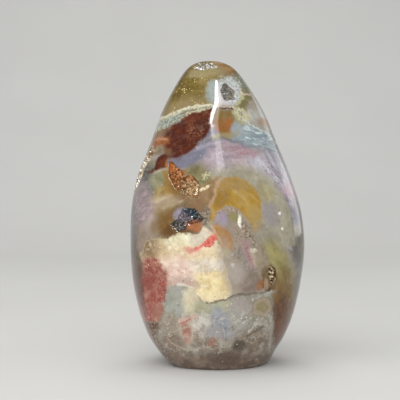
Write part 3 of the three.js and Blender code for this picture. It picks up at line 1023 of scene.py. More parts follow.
def paint_eye(on):
    """The eye in the cap: a granular grey disc, a paler lobe on its left, cream on its right rim."""
    on.patches([((-1.8, 97.3), (2.5, 3.7), 0, 1.3, (152, 160, 155))])
    disc = on.oval((3.4, 97), (4.5, 5.5), 0, 1)
    on.coat(disc, [on.grain(0.38, 0.62), (160, 160, 156), (206, 206, 204)])
    on.patches([((0.8, 94.2), (2.6, 2.6), 0, 1, (198, 192, 192))], disc)
    on.line([(5.2, 92.2), (6.9, 93.6), (7.7, 96), (7.4, 98.4)], 0.8, 0.5, (180, 174, 130), upright=True)
    on.coat(on.specks(0.75, 0.34, 0.5, 23), (122, 116, 106), on.oval((4.4, 96.6), (2.6, 3.6), 0, 1.2),
            0.5)
    on.coat(on.specks(0.75, 0.3, 0.5, 27), (226, 228, 222), on.oval((5, 98), (4, 4.8), 0, 1.4), 0.6)
    on.coat(on.grain(0.46, 0.6), (182, 196, 188), on.oval((4.4, 101.6), (3.8, 1.7), 0, 1.4), 0.8)
    on.line([(7.4, 97.6), (10.4, 97)], 0.5, 0.5, (226, 206, 188), strength=0.6)


def paint_vein(on):
    """The pale vein that crosses under the cap, and the thin white line it runs out in."""
    top = on.curve(VEIN_TOP)
    foot = on.curve(VEIN_FOOT)
    inside = on.both(on.under(top, 0.35), on.over(foot, 0.4), on.left_of(6.4, 0.8))
    on.coat(inside, [on.grain(0.4, 0.6), (122, 122, 102), (172, 168, 142)])
    crumbs = on.ease(on.cloud(1.5, 4, 0.65), 0.5, 0.57)
    on.coat(crumbs, (200, 194, 166), inside, 0.85)
    broken = on.ease(on.cloud(1.1, 4, 0.65, on.moved((4, 4, 4))), 0.38, 0.46)
    on.coat(on.ease(on.maths("ABSOLUTE", top), 0.75, 0.2), (204, 196, 168),
            on.both(on.left_of(5, 1), broken))
    on.coat(on.ease(on.maths("ABSOLUTE", foot), 0.6, 0.2), (196, 182, 150),
            on.both(on.left_of(-5, 3), on.grain(0.42, 0.55)), 0.8)
    on.line([(-14, 89.2), (-11.4, 90.2), (-8.4, 90.8), (-6.4, 91.2)], 0.35, 0.25, (84, 76, 56),
            on.grain(0.42, 0.52))
    on.patches([((-17.6, 87), (4.4, 1.4), 22, 1,
                 [on.grain(0.36, 0.64), (108, 118, 108), (176, 178, 162)])])
    # The cream blotch right of the ridge, and the white line that leaves it.
    blotch = on.both(on.oval((7.8, 89), (2.8, 2.1), -28, 1.1), on.grain(0.36, 0.54))
    on.coat(blotch, [(176, 168, 120), (206, 200, 164)])
    line = on.stroke([(7.6, 88.3), (10.4, 86.4), (13.4, 84.6), (16.5, 82.4), (19.3, 80), (21.9, 77.6)],
                     0.7, soft=0.4)
    on.coat(line, (200, 204, 192), on.grain(0.36, 0.5), 0.85)
    on.line([(-0.5, 92.2), (3.5, 92.1), (5.6, 91.9)], 0.7, 0.3, (178, 156, 152), strength=0.8)
    on.line([(0.5, 91.3), (3.7, 91.2), (4.9, 90.4)], 0.5, 0.25, (96, 56, 40))


def paint_hollows(on):
    """The dark and orange surrounds of the two hollows left of the middle."""
    on.patches([
        ((-15.6, 51.6), (6.4, 3.6), 22, 2.2, (116, 84, 36)),
        ((-13.2, 49), (5, 2.2), 12, 1.4, (96, 64, 28)),
        ((-9.6, 53.8), (5.8, 4.2), 10, 1.6, [(96, 74, 48), (126, 106, 80)]),
        ((-4.9, 53.6), (1.7, 2.6), 0, 1.1, [on.grain(0.4, 0.6), (96, 82, 66), (150, 136, 118)]),
        ((-12.8, 53.6), (2.6, 2.2), 20, 0.9, [(130, 122, 136), (152, 144, 156)]),
        ((-8.2, 50.4), (2.6, 1.5), 10, 0.9, [(140, 84, 46), (170, 110, 70)]),
        ((-7.4, 57.8), (2.2, 2.8), -10, 1.4, (132, 102, 70)),
    ])
    # The orange run above the centre druzy, darkened as a painted shadow along the hollow's upper rim as
    # well, and the moss right of it.
    on.line([(-18, 72), (-15.8, 69.6), (-12.4, 68.6), (-9.8, 66.6)], 2, 1.3,
            [(112, 62, 26), (160, 104, 58)])
    moss = [(92, 84, 42), (132, 124, 80)]
    on.patches([
        ((-6.8, 67.6), (3.6, 2.7), -20, 1.8, moss, 0.9),
        ((-16.6, 64.8), (1.6, 3.8), 24, 1.2, (142, 108, 50)),
        ((-13.4, 61.6), (3.2, 1.3), -40, 1.2, (116, 84, 40), 0.7),
    ])
    crumbs = on.both(on.specks(0.8, 0.36, 0.55, 12), on.oval((-10.4, 63.6), (5, 3.4), -45, 1.8))
    on.coat(crumbs, (206, 180, 136), strength=0.7)
    dark_crumbs = on.both(on.specks(0.9, 0.34, 0.4, 18), on.oval((-12.6, 65.2), (5.4, 3.8), -45, 1.8))
    on.coat(dark_crumbs, (86, 52, 24), strength=0.7)
    on.patches([((-4.8, 63.2), (1.5, 0.6), 20, 0.4, (236, 222, 180))], on.grain(0.42, 0.52))
    on.patches([((-4.6, 67.4), (1.8, 0.9), 30, 0.5, (200, 196, 156))], on.grain(0.46, 0.55))
    on.coat(on.specks(0.8, 0.34, 0.4, 33), (206, 200, 190), on.oval((-13.2, 50.4), (3.4, 1.6), 10, 1),
            0.8)
    on.coat(on.specks(0.7, 0.36, 0.5, 38), (50, 38, 28), on.oval((-12.8, 50.2), (3.8, 1.9), 10, 1.2),
            0.75)


def paint_knob(on):
    """The mauve knob inside the arch, the orange wedge, and the grey crystals below them."""
    right_of_cream = on.over(CREAM_TOP, 1.4)
    speckle = on.grain(0.3, 0.7)
    grey = [speckle, (126, 114, 100), (158, 148, 134)]
    on.patches([
        ((7.6, 39.6), (7.6, 11), 10, 2, grey),
        ((8.6, 31.4), (6.4, 3.8), 0, 1.6, [(122, 106, 92), (144, 130, 116)]),
    ], right_of_cream)
    knob = on.both(on.oval((4.2, 50.6), (6.8, 5.2), -30, 1), on.under(OCHRE_FOOT, 0.5))
    on.coat(knob, [(138, 122, 102), (158, 144, 132)])
    on.patches([
        ((5.8, 53.2), (2, 1.5), -30, 1.2, (142, 132, 90)),
        ((1, 52.6), (1.4, 1.9), 10, 1, (154, 140, 154)),
    ])
    ring = on.stroke([(-1.4, 53.6), (1.4, 55.6), (3.9, 56), (6.1, 55.4), (8.6, 53.6)], 0.6, soft=0.5)
    on.coat(ring, [on.grain(0.42, 0.58), (126, 88, 72), (192, 170, 150)], strength=0.65)
    on.patches([((8.2, 46.6), (3.8, 3.2), -50, 1.8, [speckle, (138, 122, 102), (168, 152, 134)])])
    wedge = on.both(on.oval((1.4, 46.2), (4.4, 2.4), -52, 0.7), on.over(CREAM_TOP, 0.5))
    on.coat(wedge, [(158, 98, 8), (176, 122, 26)])
    on.line([(-2.6, 50.4), (-1, 47.4), (0.9, 44.4)], 0.5, 0.4, (206, 172, 134), strength=0.8,
            upright=True)
    on.patches([((2.4, 41.8), (1.1, 1.5), 0, 0.8, (172, 166, 112))])
    # A string of dark specks and sparkles runs down to the right, with a peach stripe under it.
    on.line([(11.2, 42.4), (11.8, 40), (12.8, 36.4)], 1.7, 1, [on.grit, (160, 140, 114), (194, 174, 148)],
            upright=True)
    string = on.stroke([(7.6, 51.6), (9.2, 48.6), (11.6, 45.4), (13.6, 42.4), (14.6, 39.6)], 1.5, soft=1,
                       upright=True)
    on.coat(on.grain(0.48, 0.4), (100, 72, 48), string, 0.8)
    on.coat(on.grain(0.58, 0.66), (218, 204, 180), string, 0.8)
    haze = on.stroke([(8.9, 45.6), (9.4, 41.8), (10.4, 39.1), (11.3, 36)], 2.2, upright=True, soft=1.4)
    on.coat(haze, (164, 140, 140), strength=0.7)
    magenta = on.stroke([(8.9, 45.6), (9.4, 41.8), (10.4, 39.1), (11.3, 36)], 0.7, upright=True, soft=0.6)
    on.coat(magenta, (156, 88, 96), on.grain(0.44, 0.58), 0.8)
    on.patches([((12.4, 42), (1.8, 0.5), 6, 0.4, (214, 202, 184))], on.grain(0.38, 0.5))
    sparkle = on.specks(1.3, 0.24, 0.3, 41)
    on.coat(sparkle, (226, 220, 214), on.oval((5.6, 37), (6.2, 5.2), 0, 1.6), 0.7)
    # Painted glints: a tall white one in the knob, and a small one among the grey crystals below.
    on.patches([
        ((7.2, 51.8), (0.55, 2), 4, 0.4, (250, 246, 226)),
        ((4.8, 36.8), (0.5, 0.8), 10, 0.3, (250, 248, 244)),
    ])


def paint_olive(on):
    """The olive and mustard stretch on the lower right, with mauve beyond it."""
    sage = [on.falling, (146, 138, 122), (164, 158, 144)]
    on.patches([((16.8, 43.4), (3, 6.6), 16, 2, sage)])
    olive = [on.falling, (138, 126, 74), (162, 152, 100)]
    on.patches([
        ((19.6, 35.6), (4.6, 9.4), 20, 2, olive),
        ((22.6, 28), (3.4, 7), 6, 1.8, [on.falling, (110, 86, 38), (134, 112, 62)]),
        ((15.2, 38), (1.6, 5), 10, 1.4, [(136, 120, 96), (156, 142, 122)]),
        ((20.4, 26.6), (3.8, 3.8), 0, 1.6, [(106, 76, 28), (128, 100, 48)]),
    ])
    far = on.right_of([(30, 62), (26.4, 50), (26.4, 42), (26.8, 34), (25.6, 26), (23.2, 16),
                       (20.6, 6)], 1.4)
    mauve = [on.falling, (84, 77, 64), (106, 98, 84)]
    on.coat(far, mauve, on.below(50, 4))
    on.patches([
        ((21.2, 18.4), (3.2, 6.6), -10, 1.8, [(80, 42, 10), (108, 66, 24)]),
        ((20.4, 8.4), (3, 6.6), -14, 1.4, [(88, 40, 12), (112, 62, 28)]),
    ])
    on.line([(22.6, 54), (22.4, 48), (23.4, 42), (24.8, 36), (25, 30)], 1.1, 1, (168, 160, 136),
            strength=0.3, upright=True)
    dark = on.stroke([(15.9, 33.7), (16.6, 29.1), (17.6, 25.5), (18.6, 22.3), (18.8, 18), (18, 14.5),
                      (18.2, 11.1), (18, 6.1), (17.6, 2.6)], 1.6, upright=True, soft=1.1)
    on.coat(dark, [(64, 34, 8), (98, 66, 26)])
    on.patches([
        ((17.4, 33), (2, 2.8), 10, 1.2, [(74, 50, 24), (118, 94, 54)]),
        ((13.9, 30.3), (1.2, 1.7), -8, 0.6, (142, 94, 52)),
        ((16.1, 30.4), (0.9, 1.6), 0, 0.6, (156, 128, 96)),
    ])
    on.line([(15.1, 28.6), (15, 30.4), (15.3, 32.2)], 0.35, 0.25, (90, 38, 26), upright=True)
    # Two small painted glints on the right flank.
    on.patches([
        ((20.9, 54.2), (0.3, 0.45), 0, 0.25, (240, 238, 236)),
        ((21.2, 49), (0.35, 0.5), 0, 0.25, (244, 242, 240)),
    ])


def paint_cream(on):
    """The cream and white heart, with its coral squiggle, pink specks and tan rim."""
    above_seam = on.over(SEAM, 0.5)
    heart = on.both(on.under(CREAM_TOP, 0.6), above_seam, on.right_of(-26.5, 1.6), on.left_of(4.4, 2),
                    on.above(22, 2))
    on.coat(heart, [(208, 184, 146), (234, 216, 180)])
    on.patches([
        ((-23.4, 43), (4.8, 3.4), 40, 2, [(122, 98, 66), (144, 120, 88)]),
        ((-18.8, 42.6), (2.6, 3.2), 40, 2, (196, 172, 134), 0.6),
        ((-12.6, 46.2), (5.4, 2), 4, 1.4, [(208, 198, 160), (232, 224, 190)]),
        ((-6.4, 46.6), (3.2, 3.2), -20, 1.6, [(196, 184, 164), (218, 206, 184)]),
        ((-2.6, 30.8), (7.4, 4.4), 0, 2, [(210, 186, 136), (232, 214, 164)]),
        ((-4, 37.2), (8, 1.6), 4, 1.4, [(190, 174, 152), (224, 214, 198)], 0.8),
    ], heart)
    pink = on.oval((-14.6, 34.4), (5.8, 4.8), -10, 2.4)
    on.coat(pink, [(214, 180, 166), (230, 204, 190)], heart, 0.85)
    on.patches([((-12.4, 30.6), (4.4, 1.9), 0, 1.6, (180, 154, 142), 0.85)], heart)
    on.coat(on.specks(1.25, 0.24, 0.45, 3), (164, 92, 82),
            on.both(heart, on.oval((-14.4, 35), (6.4, 5.2), 0, 1.8)), 0.7)
    on.coat(on.specks(2.2, 0.13, 0.5, 21), (160, 134, 98), heart, 0.7)
    milk = on.ease(on.cloud(2.2, 5, 0.62, on.moved((6, 1, 9))), 0.54, 0.64)
    on.coat(milk, (246, 240, 222), heart, 0.35)
    tan = on.ease(on.cloud(1.8, 5, 0.62, on.moved((2, 7, 3))), 0.58, 0.68)
    on.coat(tan, (196, 164, 122), heart, 0.35)
    sparkle = on.both(heart, on.oval((2, 36.6), (5.4, 1.8), 4, 1.2), on.specks(0.8, 0.3, 0.5, 51))
    on.coat(sparkle, (250, 248, 244))
    on.patches([
        ((3.4, 36.6), (1.8, 7), 14, 2.6, (168, 154, 138), 0.7),
        ((6, 34), (2.4, 2.6), 0, 1.6, (170, 158, 148), 0.7),
    ], above_seam)
    # The coral squiggle: a ragged blob with a tail to its lower left.
    coral = [on.grain(0.4, 0.6), (196, 76, 66), (224, 128, 110)]
    halo = on.stroke([(-10.4, 41.8), (-8.2, 41.7), (-5.8, 43.3), (-3.4, 45.3), (-1.6, 46.8)], 3, soft=1)
    on.coat(halo, (226, 186, 164), strength=0.8)
    on.line([(-8.4, 42), (-6.2, 43), (-4, 44.9), (-2.2, 46.4)], 1.6, 0.7, coral, strength=0.9)
    on.patches([((-3, 45.4), (2.2, 1.2), 30, 0.5, coral)])
    on.line([(-4.6, 43.4), (-3, 43.7), (-1.2, 45.2)], 0.9, 0.4, coral)
    on.patches([((-10, 42), (1.5, 0.9), -10, 0.6, (208, 146, 126))])


def paint_red(on):
    """The red-spotted edge low on the left."""
    edge = on.left_of([(-18.9, 14), (-18.4, 20), (-17.6, 25.9), (-17.2, 30.9), (-19, 36.5),
                       (-20.8, 39.6)], 1.5)
    zone = on.both(edge, on.above(14.4, 1.2),
                   on.under([(-32, 33), (-27, 36.5), (-24, 38.8), (-16, 39.8)], 1.6))
    on.coat(zone, [(142, 84, 68), (184, 134, 114)])
    blotches = on.ease(on.cloud(2.3, 5, 0.66), 0.455, 0.53)
    on.coat(blotches, [on.grain(0.36, 0.64), (108, 30, 28), (158, 74, 64)], zone, 0.85)
    on.coat(on.grain(0.6, 0.7), (216, 182, 158), zone, 0.6)
    on.patches([((-28.4, 29), (2.4, 9), 6, 1.6, (86, 34, 22), 0.9)], zone)
    on.patches([((-28.6, 36), (2, 7), 8, 1.6, (84, 62, 46), 0.9)])
    on.patches([
        ((-23.2, 30.4), (2.6, 3), 0, 1.8, (130, 52, 44), 0.55),
        ((-21.4, 23.4), (2.6, 4.2), 0, 1.8, (148, 70, 58), 0.5),
        ((-19.4, 20.6), (2.6, 2.6), 0, 1.8, (160, 122, 106), 0.6),
    ], zone)


def paint_foot(on):
    """The broken, cemented stretch below the seam, and the taupe band at the foot, partly darkened as
    painted shade.
    """
    below = on.under(SEAM, 0.4)
    inside = on.both(below, on.left_of(18.4, 1))
    lumps = on.ease(on.cloud(2.8, 5, 0.58, on.moved((3, 5, 1))), 0.4, 0.6)
    on.coat(inside, [lumps, (138, 132, 118), (164, 160, 148)])
    left = on.left_of([(-17, 0), (-20, 8), (-21, 14), (-19.4, 20), (-18.5, 27)], 1.4)
    on.coat(left, [lumps, (80, 46, 24), (106, 72, 48)], below)
    on.patches([
        ((-14.2, 24.4), (4.2, 4.6), 0, 1.2, [(146, 146, 134), (162, 160, 150)]),
        ((-9.4, 25.4), (2.4, 4.8), 0, 1.2, [(190, 176, 144), (212, 202, 174)]),
        ((-1, 23), (6.6, 2), 6, 1.3, [(156, 154, 120), (172, 168, 140)]),
        ((7.2, 22.6), (2.4, 2.6), 0, 1.6, (158, 148, 140)),
        ((1, 17.2), (2.6, 5.6), 28, 1.5, [(138, 140, 146), (154, 156, 160)]),
        ((6, 17.6), (2.6, 4.4), 10, 1.7, (162, 158, 150), 0.8),
        ((-16.2, 15.4), (2.8, 4.6), 10, 1.4, (148, 136, 120)),
        ((-6.6, 16.4), (2.8, 4), -20, 1.2, [lumps, (170, 161, 148), (200, 193, 182)]),
        ((-3.4, 11.4), (6, 3.2), -12, 1.8, [lumps, (128, 112, 98), (166, 154, 138)], 0.8),
        ((-1.8, 14), (2.6, 2), 0, 1.6, (154, 150, 148)),
    ], below)
    # Salmon shards with pale rims.
    shard = [(152, 110, 92), (178, 138, 120)]
    on.patches([
        ((-10.9, 14.6), (2.4, 4.6), 8, 0.9, (192, 174, 158)),
        ((-11.1, 14.4), (1.8, 4.2), 8, 0.7, shard),
    ], below)
    on.line([(-14.2, 17.6), (-11.6, 18.2), (-9, 19.2), (-7.4, 19.4)], 1.5, 0.6, (194, 162, 146), below)
    on.line([(-13.6, 17), (-11.4, 17.8), (-9.2, 18.9)], 0.6, 0.4, (168, 108, 94), below)
    on.patches([
        ((-2.4, 10.8), (1.5, 1.1), 20, 0.9, (148, 112, 96)),
        ((10.5, 10.4), (6.4, 4.2), 14, 2, [lumps, (120, 106, 90), (144, 130, 114)]),
    ], below)
    # The taupe foot: its own taupe, made darker as painted shade where the skin turns under towards the
    # floor.
    taupe = [lumps, (104, 87, 72), (132, 113, 98)]
    foot_top = on.curve([(-26, 9), (-18, 8), (-10, 6.4), (0, 6.6), (8, 6.4), (17, 6), (24, 4)])
    on.coat(on.under(foot_top, 2.4), taupe)
    on.patches([
        ((2, 4.6), (4.4, 2.4), 0, 2, (98, 80, 66)),
        ((-15.4, 9.6), (3.8, 3.4), -20, 1.4, [(120, 104, 90), (138, 122, 108)]),
    ])
    on.line([(-17.6, 13.4), (-16, 10.2), (-12.4, 8.2), (-9.4, 7.8), (-6.4, 8.2)], 0.7, 0.5,
            (190, 174, 154), on.grain(0.36, 0.5), 0.7)
    veins = on.both(inside, on.below(21, 2), on.above(6, 2))
    on.coat(on.threads(5.2, 0.02, 2), (196, 188, 172), veins, 0.5)
    on.coat(on.threads(4.6, 0.012, 7), (104, 86, 66), veins, 0.6)
    # The dark crack that climbs to the right.
    on.line([(1.2, 3), (3.6, 5.4), (5.8, 8), (8.2, 11), (11.6, 13.4), (15.2, 15.4)], 1, 0.8, (96, 84, 70),
            on.grain(0.36, 0.5), 0.85)
    # A dark spot where a small pit lies, which the mesh doesn't carve: painted shade.
    on.patches([((7, 9.2), (1.9, 1.9), 0, 1.2, (82, 72, 60))])
    # A painted highlight: a pale line along a small crack above the dark one.
    on.line([(9.6, 13.8), (12.2, 15.8), (15.2, 17)], 0.9, 0.6, (196, 190, 180), on.grain(0.44, 0.54), 0.8)
    # The small round orb.
    orb_reach = on.maths("SQRT", on.reach((14.7, 22.4), (3.9, 3.6)))
    orb = on.ramp(orb_reach,
                  [(0, (138, 122, 78)), (0.42, (134, 120, 80)), (0.58, (152, 136, 106)),
                   (0.84, (156, 140, 118)), (0.95, (114, 98, 76)), (1, (144, 136, 120))])
    on.coat(on.ease(orb_reach, 1.1, 0.9), orb, strength=0.8)
    on.coat(on.specks(0.9, 0.3, 0.4, 61), (236, 234, 228), on.oval((8.4, 18.6), (4, 1.2), -10, 1), 0.9)
    on.coat(on.specks(1.7, 0.16, 0.35, 66), (226, 220, 206), inside, 0.7)
    # The seam itself.
    on.line([(-4.7, 24.5), (0, 25), (3, 25.7), (5.4, 26.8), (8.2, 27.3), (15.7, 27.1)], 0.6, 0.35,
            (98, 86, 66), on.grain(0.34, 0.48), 0.85)
    on.line([(-14.6, 29.9), (-11.5, 30.2), (-8.5, 29.2)], 0.5, 0.5, (222, 214, 200), strength=0.7)


def paint_back(on):
    """The bands and orbs of the sides and back, which the front runs into."""
    sway = on.cloud(20, 3)
    ragged = on.times(on.cloud(2.6, 4, 0.6), 0.06, on.times(on.z, 1 / HEIGHT, -0.16))
    level = on.times(sway, 0.26, ragged)
    bands = on.ramp(level,
                    [(0.02, (104, 90, 78)), (0.12, (136, 120, 100)), (0.2, (178, 164, 136)),
                     (0.29, (140, 140, 134)), (0.38, (136, 124, 82)), (0.47, (190, 172, 144)),
                     (0.55, (146, 132, 142)), (0.63, (166, 162, 168)), (0.7, (120, 112, 128)),
                     (0.78, (88, 46, 28)), (0.83, (190, 184, 162)), (0.9, (120, 102, 54)),
                     (1, (110, 92, 48))])
    cell = on.times(on.cloud(1.6, 3), 0.16, on.cells(10)["Distance"])
    rings = on.ramp(cell,
                    [(0.06, (134, 114, 66)), (0.17, (160, 140, 96)), (0.21, (108, 80, 54)),
                     (0.27, (200, 186, 158)), (0.34, (170, 142, 132)), (0.38, (128, 116, 132)),
                     (0.43, (186, 176, 162))])
    orbs = on.both(on.ease(cell, 0.5, 0.42), on.ease(on.cloud(18, 1), 0.47, 0.55))
    on.colour = on.mix(orbs, bands, rings)


# How the jasper's edges are bent: the size of each cloud, and how far it pushes them.
JASPER_BENDS = [(8.0, 3.4), (2.6, 2.2), (0.7, 0.9)]
# The far side's bands begin this far back, and have taken over at the second figure.
BACK_FROM = 4
BACK_FULL = 18
# Over all the bands: how strong the milky veils and dark threads are, and how the mottling darkens.
VEIL_STRENGTH = 0.09
HAIR_STRENGTH = 0.3
MOTTLE_RANGE = 0.44
MOTTLE_DARKEST = 0.78
# The polish: its least and greatest roughness, and how much rougher it is in a thread.
POLISH = (0.06, 0.12)
HAIR_ROUGHNESS = 0.2
# The skin's fine relief: its height, its strength, and how far the threads are sunk in it.
RELIEF = 0.04
RELIEF_STRENGTH = 0.12
HAIR_SUNK = -2
QUARTZ_IOR = 1.54
PAINTS = (paint_left, paint_lavender, paint_pink, paint_right, paint_brown, paint_ochre, paint_cap,
          paint_eye, paint_vein, paint_hollows, paint_knob, paint_olive, paint_cream, paint_red,
          paint_foot)


def jasper_colour(on):
    """The skin's colour and its threads: the front's coats, the back's, then veils and mottling."""
    on.coat(1, (150, 140, 130))
    for paint in PAINTS:
        on.lay(paint)
    front = on.colour
    on.lay(paint_back)
    behind = on.ease(on.times(on.fog, 7, on.y), BACK_FROM, BACK_FULL)
    colour = on.mix(behind, front, on.colour)
    veil = on.ease(on.cloud(3.2, 5, 0.65, on.moved((9, 2, 4))), 0.5, 0.72, 0, VEIL_STRENGTH)
    colour = on.mix(veil, colour, (212, 196, 172))
    hair = on.threads(9, 0.006, 11)
    colour = on.mix(on.maths("MULTIPLY", hair, HAIR_STRENGTH), colour, (86, 70, 54))
    light = on.times(on.cloud(1.3, 4, 0.7), MOTTLE_RANGE, MOTTLE_DARKEST)
    mottle = on.add("ShaderNodeHueSaturation")
    on.feed(mottle.inputs["Value"], light)
    on.feed(mottle.inputs["Color"], colour)
    return mottle.outputs[0], hair


def jasper_material():
    on = Material("jasper_polish")
    on.wave(JASPER_BENDS)
    on.fog = on.ease(on.cloud(4, 6, 0.62, bend=0.4), *CLOUD_EDGES)
    on.grit = on.cloud(0.8, 3, 0.65)
    on.rising = on.flow(24, 2, 3.5)
    on.crest = on.flow(12, 1.6, 4)
    on.falling = on.flow(-56, 2.4, 4)
    colour, hair = jasper_colour(on)
    on.feed(on.shader.inputs["Base Color"], colour)
    rough = on.ease(on.cloud(3, 3), 0.3, 0.7, *POLISH)
    on.feed(on.shader.inputs["Roughness"], on.times(hair, HAIR_ROUGHNESS, rough))
    on.shader.inputs["IOR"].default_value = QUARTZ_IOR
    bump = on.add("ShaderNodeBump")
    bump.inputs["Strength"].default_value = RELIEF_STRENGTH
    bump.inputs["Distance"].default_value = RELIEF * MM
    on.feed(bump.inputs["Height"], on.times(hair, HAIR_SUNK, on.cloud(1.2, 2)))
    on.feed(on.shader.inputs["Normal"], bump.outputs[0])
    return on.material


# ---- The crusts' materials --------------------------------------------------------------------

# How a crust's patches are bent: the size of the cloud, and how far it pushes them.
CRUST_BENDS = [(1.6, 1.4)]
# How much a point's own tint and a cloud count in its shade.
TINT_SHARE = 0.75
CLOUD_SHARE = 0.3
# How soft a crust's patches are, and the tints over which they take hold.
PATCH_SOFT = 0.8
PATCH_TINTS = (-0.8, 0.5)
QUARTZ_ROUGHNESS = (0.08, 0.25)
# Each crust's colours, from its darkest points to its palest.
CRUST_STOPS = {
    "druzy_top": [(0.15, (96, 84, 60)), (0.4, (168, 160, 140)), (0.7, (226, 224, 218))],
    "druzy_eye": [(0.10, (104, 99, 88)), (0.40, (156, 151, 140)), (0.8, (206, 202, 192))],
    "druzy_left_edge": [(0.12, (104, 78, 50)), (0.38, (186, 168, 138)), (0.7, (244, 236, 218))],
    "druzy_centre": [(0.10, (70, 36, 12)), (0.35, (150, 90, 44)), (0.58, (192, 138, 86)),
                     (0.85, (236, 216, 176))],
    "druzy_dark": [(0.12, (42, 48, 54)), (0.42, (84, 96, 106)), (0.70, (130, 136, 142)),
                   (0.92, (204, 200, 200))],
    "druzy_right": [(0.15, (52, 34, 18)), (0.45, (112, 82, 46)), (0.8, (226, 206, 164))],
}

# Where a crust's own colour gives way to another: place (x, z), half sizes, tilt, colour and strength.
CRUST_PATCHES = {
    "druzy_left_edge": [
        # Darkens the top of the left edge crust to orange-brown: partly its colour there, partly painted
        # shade.
        ((-22.0, 78.0), (3.6, 4.6), 0, (146, 108, 74), 0.75),
    ],
    "druzy_eye": [
        ((6.8, 96.8), (1.9, 4.4), 0, (176, 172, 162), 0.85),
        ((1.6, 96.2), (1.2, 3.0), 0, (150, 146, 138), 0.6),
    ],
    "druzy_centre": [
        ((-16.2, 69.4), (2.8, 4.4), 28, (196, 122, 58), 0.8),
        ((-14.2, 65.4), (1.8, 3.6), 30, (158, 108, 62), 0.7),
        ((-17.0, 66.6), (1.0, 3.0), 20, (118, 68, 28), 0.6),
        ((-8.6, 63.0), (3.6, 2.4), -45, (206, 178, 134), 0.75),
        ((-11.0, 68.0), (3.0, 1.6), -40, (178, 122, 74), 0.7),
    ],
    "druzy_dark": [
        ((-12.0, 53.8), (2.6, 2.2), 10, (154, 140, 146), 0.95),
        ((-8.0, 50.9), (2.8, 1.3), 10, (158, 98, 58), 0.95),
        ((-8.8, 54.4), (2.8, 0.9), -18, (60, 84, 98), 0.8),
        ((-13.6, 50.2), (2.8, 1.5), 0, (120, 106, 88), 0.6),
        ((-6.0, 53.2), (1.4, 1.8), 0, (110, 98, 84), 0.8),
    ],
}


def crust_material(name, stops, patches):
    """Quartz points, each of its own tint, with the lining between them darker as painted shade."""
    crust = Material(name)
    crust.wave(CRUST_BENDS)
    tint = crust.add("ShaderNodeAttribute", attribute_name="tint").outputs["Fac"]
    cloud = crust.maths("MULTIPLY", crust.cloud(1.2, 3), CLOUD_SHARE)
    crust.coat(1, crust.ramp(crust.times(tint, TINT_SHARE, cloud), stops))
    for at, size, tilt, colour, strength in patches:
        mask = crust.both(crust.oval(at, size, tilt, PATCH_SOFT), crust.ease(tint, *PATCH_TINTS))
        crust.coat(mask, colour, strength=strength)
    crust.feed(crust.shader.inputs["Base Color"], crust.colour)
    rough = crust.ease(crust.cloud(0.6, 1), 0.3, 0.7, *QUARTZ_ROUGHNESS)
    crust.feed(crust.shader.inputs["Roughness"], rough)
    crust.shader.inputs["IOR"].default_value = QUARTZ_IOR
    return crust.material


# ---- Studio -----------------------------------------------------------------------------------

FOCAL_LENGTH = 76.5
SENSOR = 36.0
NEAREST_SEEN = 10
AIR_COLOUR = (0.80, 0.86, 0.92, 1)
AIR_STRENGTH = 0.36
# The floor sheet: half its width, its near edge, where it starts to bend up, the bend's radius and
# steps, and the height of its upper edge.
FLOOR_HALF_WIDTH = 1800
FLOOR_NEAR = -1200
BEND_AT = 500
BEND_RADIUS = 500
BEND_STEPS = 16
FLOOR_TOP = 2000
# The lights: name, place, what it shines at, size, power, the rays it is hidden from, and its shape.
MIDDLE = (0, 0, 55)
LIGHTS = [
    ("key_softbox", (-420, -620, 560), MIDDLE, (1300, 1300), 9.6, ["glossy"], "RECTANGLE"),
    ("fill_softbox", (620, -460, 300), MIDDLE, (1100, 1100), 3.0, ["glossy"], "RECTANGLE"),
    ("top_softbox", (0, 420, 1500), MIDDLE, (900, 900), 8.0, ["glossy", "camera"], "RECTANGLE"),
    ("rim_softbox", (560, 420, 250), MIDDLE, (420, 420), 0.7, ["diffuse"], "RECTANGLE"),
    ("ridge_window", (-10, -400, 560), (0, 0, 95), (250, 290), 6.4, ["diffuse"], "ELLIPSE"),
    ("ridge_sheen", (228, -488, 523), (0, 0, 80), (300, 300), 1.05, ["diffuse"], "RECTANGLE"),
]


def make_light(name, at, aim, size, power, hidden_from, shape):
    """An area light at a place in millimetres, turned to shine at another."""
    lamp = bpy.data.lights.new(name, "AREA")
    lamp.shape = shape
    lamp.size = size[0] * MM
    lamp.size_y = size[1] * MM
    lamp.energy = power
    holder = bpy.data.objects.new(name, lamp)
    holder.location = Vector(at) * MM
    holder.rotation_euler = (Vector(aim) - Vector(at)).to_track_quat("-Z", "Y").to_euler()
    for rays in hidden_from:
        setattr(holder, "visible_" + rays, False)
    bpy.context.scene.collection.objects.link(holder)


def paper_material():
    paper = Material("pale_paper")
    colour = paper.mix(paper.cloud(120, 3), (202, 200, 196), (210, 208, 204))
    paper.feed(paper.shader.inputs["Base Color"], colour)
    paper.shader.inputs["Roughness"].default_value = 0.85
    paper.shader.inputs["Specular IOR Level"].default_value = 0.2
    return paper.material


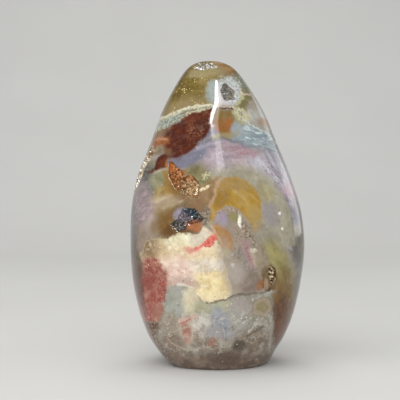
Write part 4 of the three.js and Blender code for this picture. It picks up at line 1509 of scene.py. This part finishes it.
def make_floor():
    """A pale sheet that runs back from the camera and curves up behind the stone."""
    bm = bmesh.new()
    bend = [(BEND_AT + BEND_RADIUS * math.sin(turn), BEND_RADIUS * (1 - math.cos(turn)))
            for turn in np.linspace(0, math.pi / 2, BEND_STEPS + 1)]
    profile = [(FLOOR_NEAR, 0)] + bend + [(BEND_AT + BEND_RADIUS, FLOOR_TOP)]
    edge = [bm.verts.new((-FLOOR_HALF_WIDTH, y, z)) for y, z in profile]
    rails = [bm.edges.new(pair) for pair in zip(edge, edge[1:])]
    made = bmesh.ops.extrude_edge_only(bm, edges=rails)
    moved = [item for item in made["geom"] if isinstance(item, bmesh.types.BMVert)]
    bmesh.ops.translate(bm, vec=(2 * FLOOR_HALF_WIDTH, 0, 0), verts=moved)
    bmesh.ops.recalc_face_normals(bm, faces=bm.faces)
    floor = finish_mesh("studio_floor", bm, smooth=True)
    floor.data.materials.append(paper_material())


def make_air():
    world = bpy.data.worlds.new("studio_air")
    world.use_nodes = True
    backdrop = world.node_tree.nodes["Background"]
    backdrop.inputs["Color"].default_value = AIR_COLOUR
    backdrop.inputs["Strength"].default_value = AIR_STRENGTH
    bpy.context.scene.world = world


def make_camera():
    lens = bpy.data.cameras.new("view_camera")
    lens.lens = FOCAL_LENGTH
    lens.sensor_width = SENSOR
    lens.clip_start = NEAREST_SEEN * MM
    camera = bpy.data.objects.new("view_camera", lens)
    camera.location = Vector(CAMERA) * MM
    camera.rotation_euler = (math.radians(90), 0, 0)
    bpy.context.scene.collection.objects.link(camera)
    bpy.context.scene.camera = camera


def make_studio():
    make_floor()
    make_air()
    for light in LIGHTS:
        make_light(*light)
    make_camera()
    bpy.context.scene.view_settings.view_transform = "Standard"
    bpy.context.scene.view_settings.look = "None"


# ---- Putting it together ----------------------------------------------------------------------


def main():
    make_studio()
    stone, skin_tree = make_stone()
    stone.data.materials.append(jasper_material())
    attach(stone, "root")
    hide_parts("stone")
    for hollow in HOLLOWS:
        crust = make_crust(hollow, skin_tree)
        crust.data.materials.append(crust_material(hollow.crust + "_quartz", CRUST_STOPS[hollow.crust],
                                                    CRUST_PATCHES.get(hollow.crust, [])))
        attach(crust, "root")
        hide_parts(hollow.crust)


main()
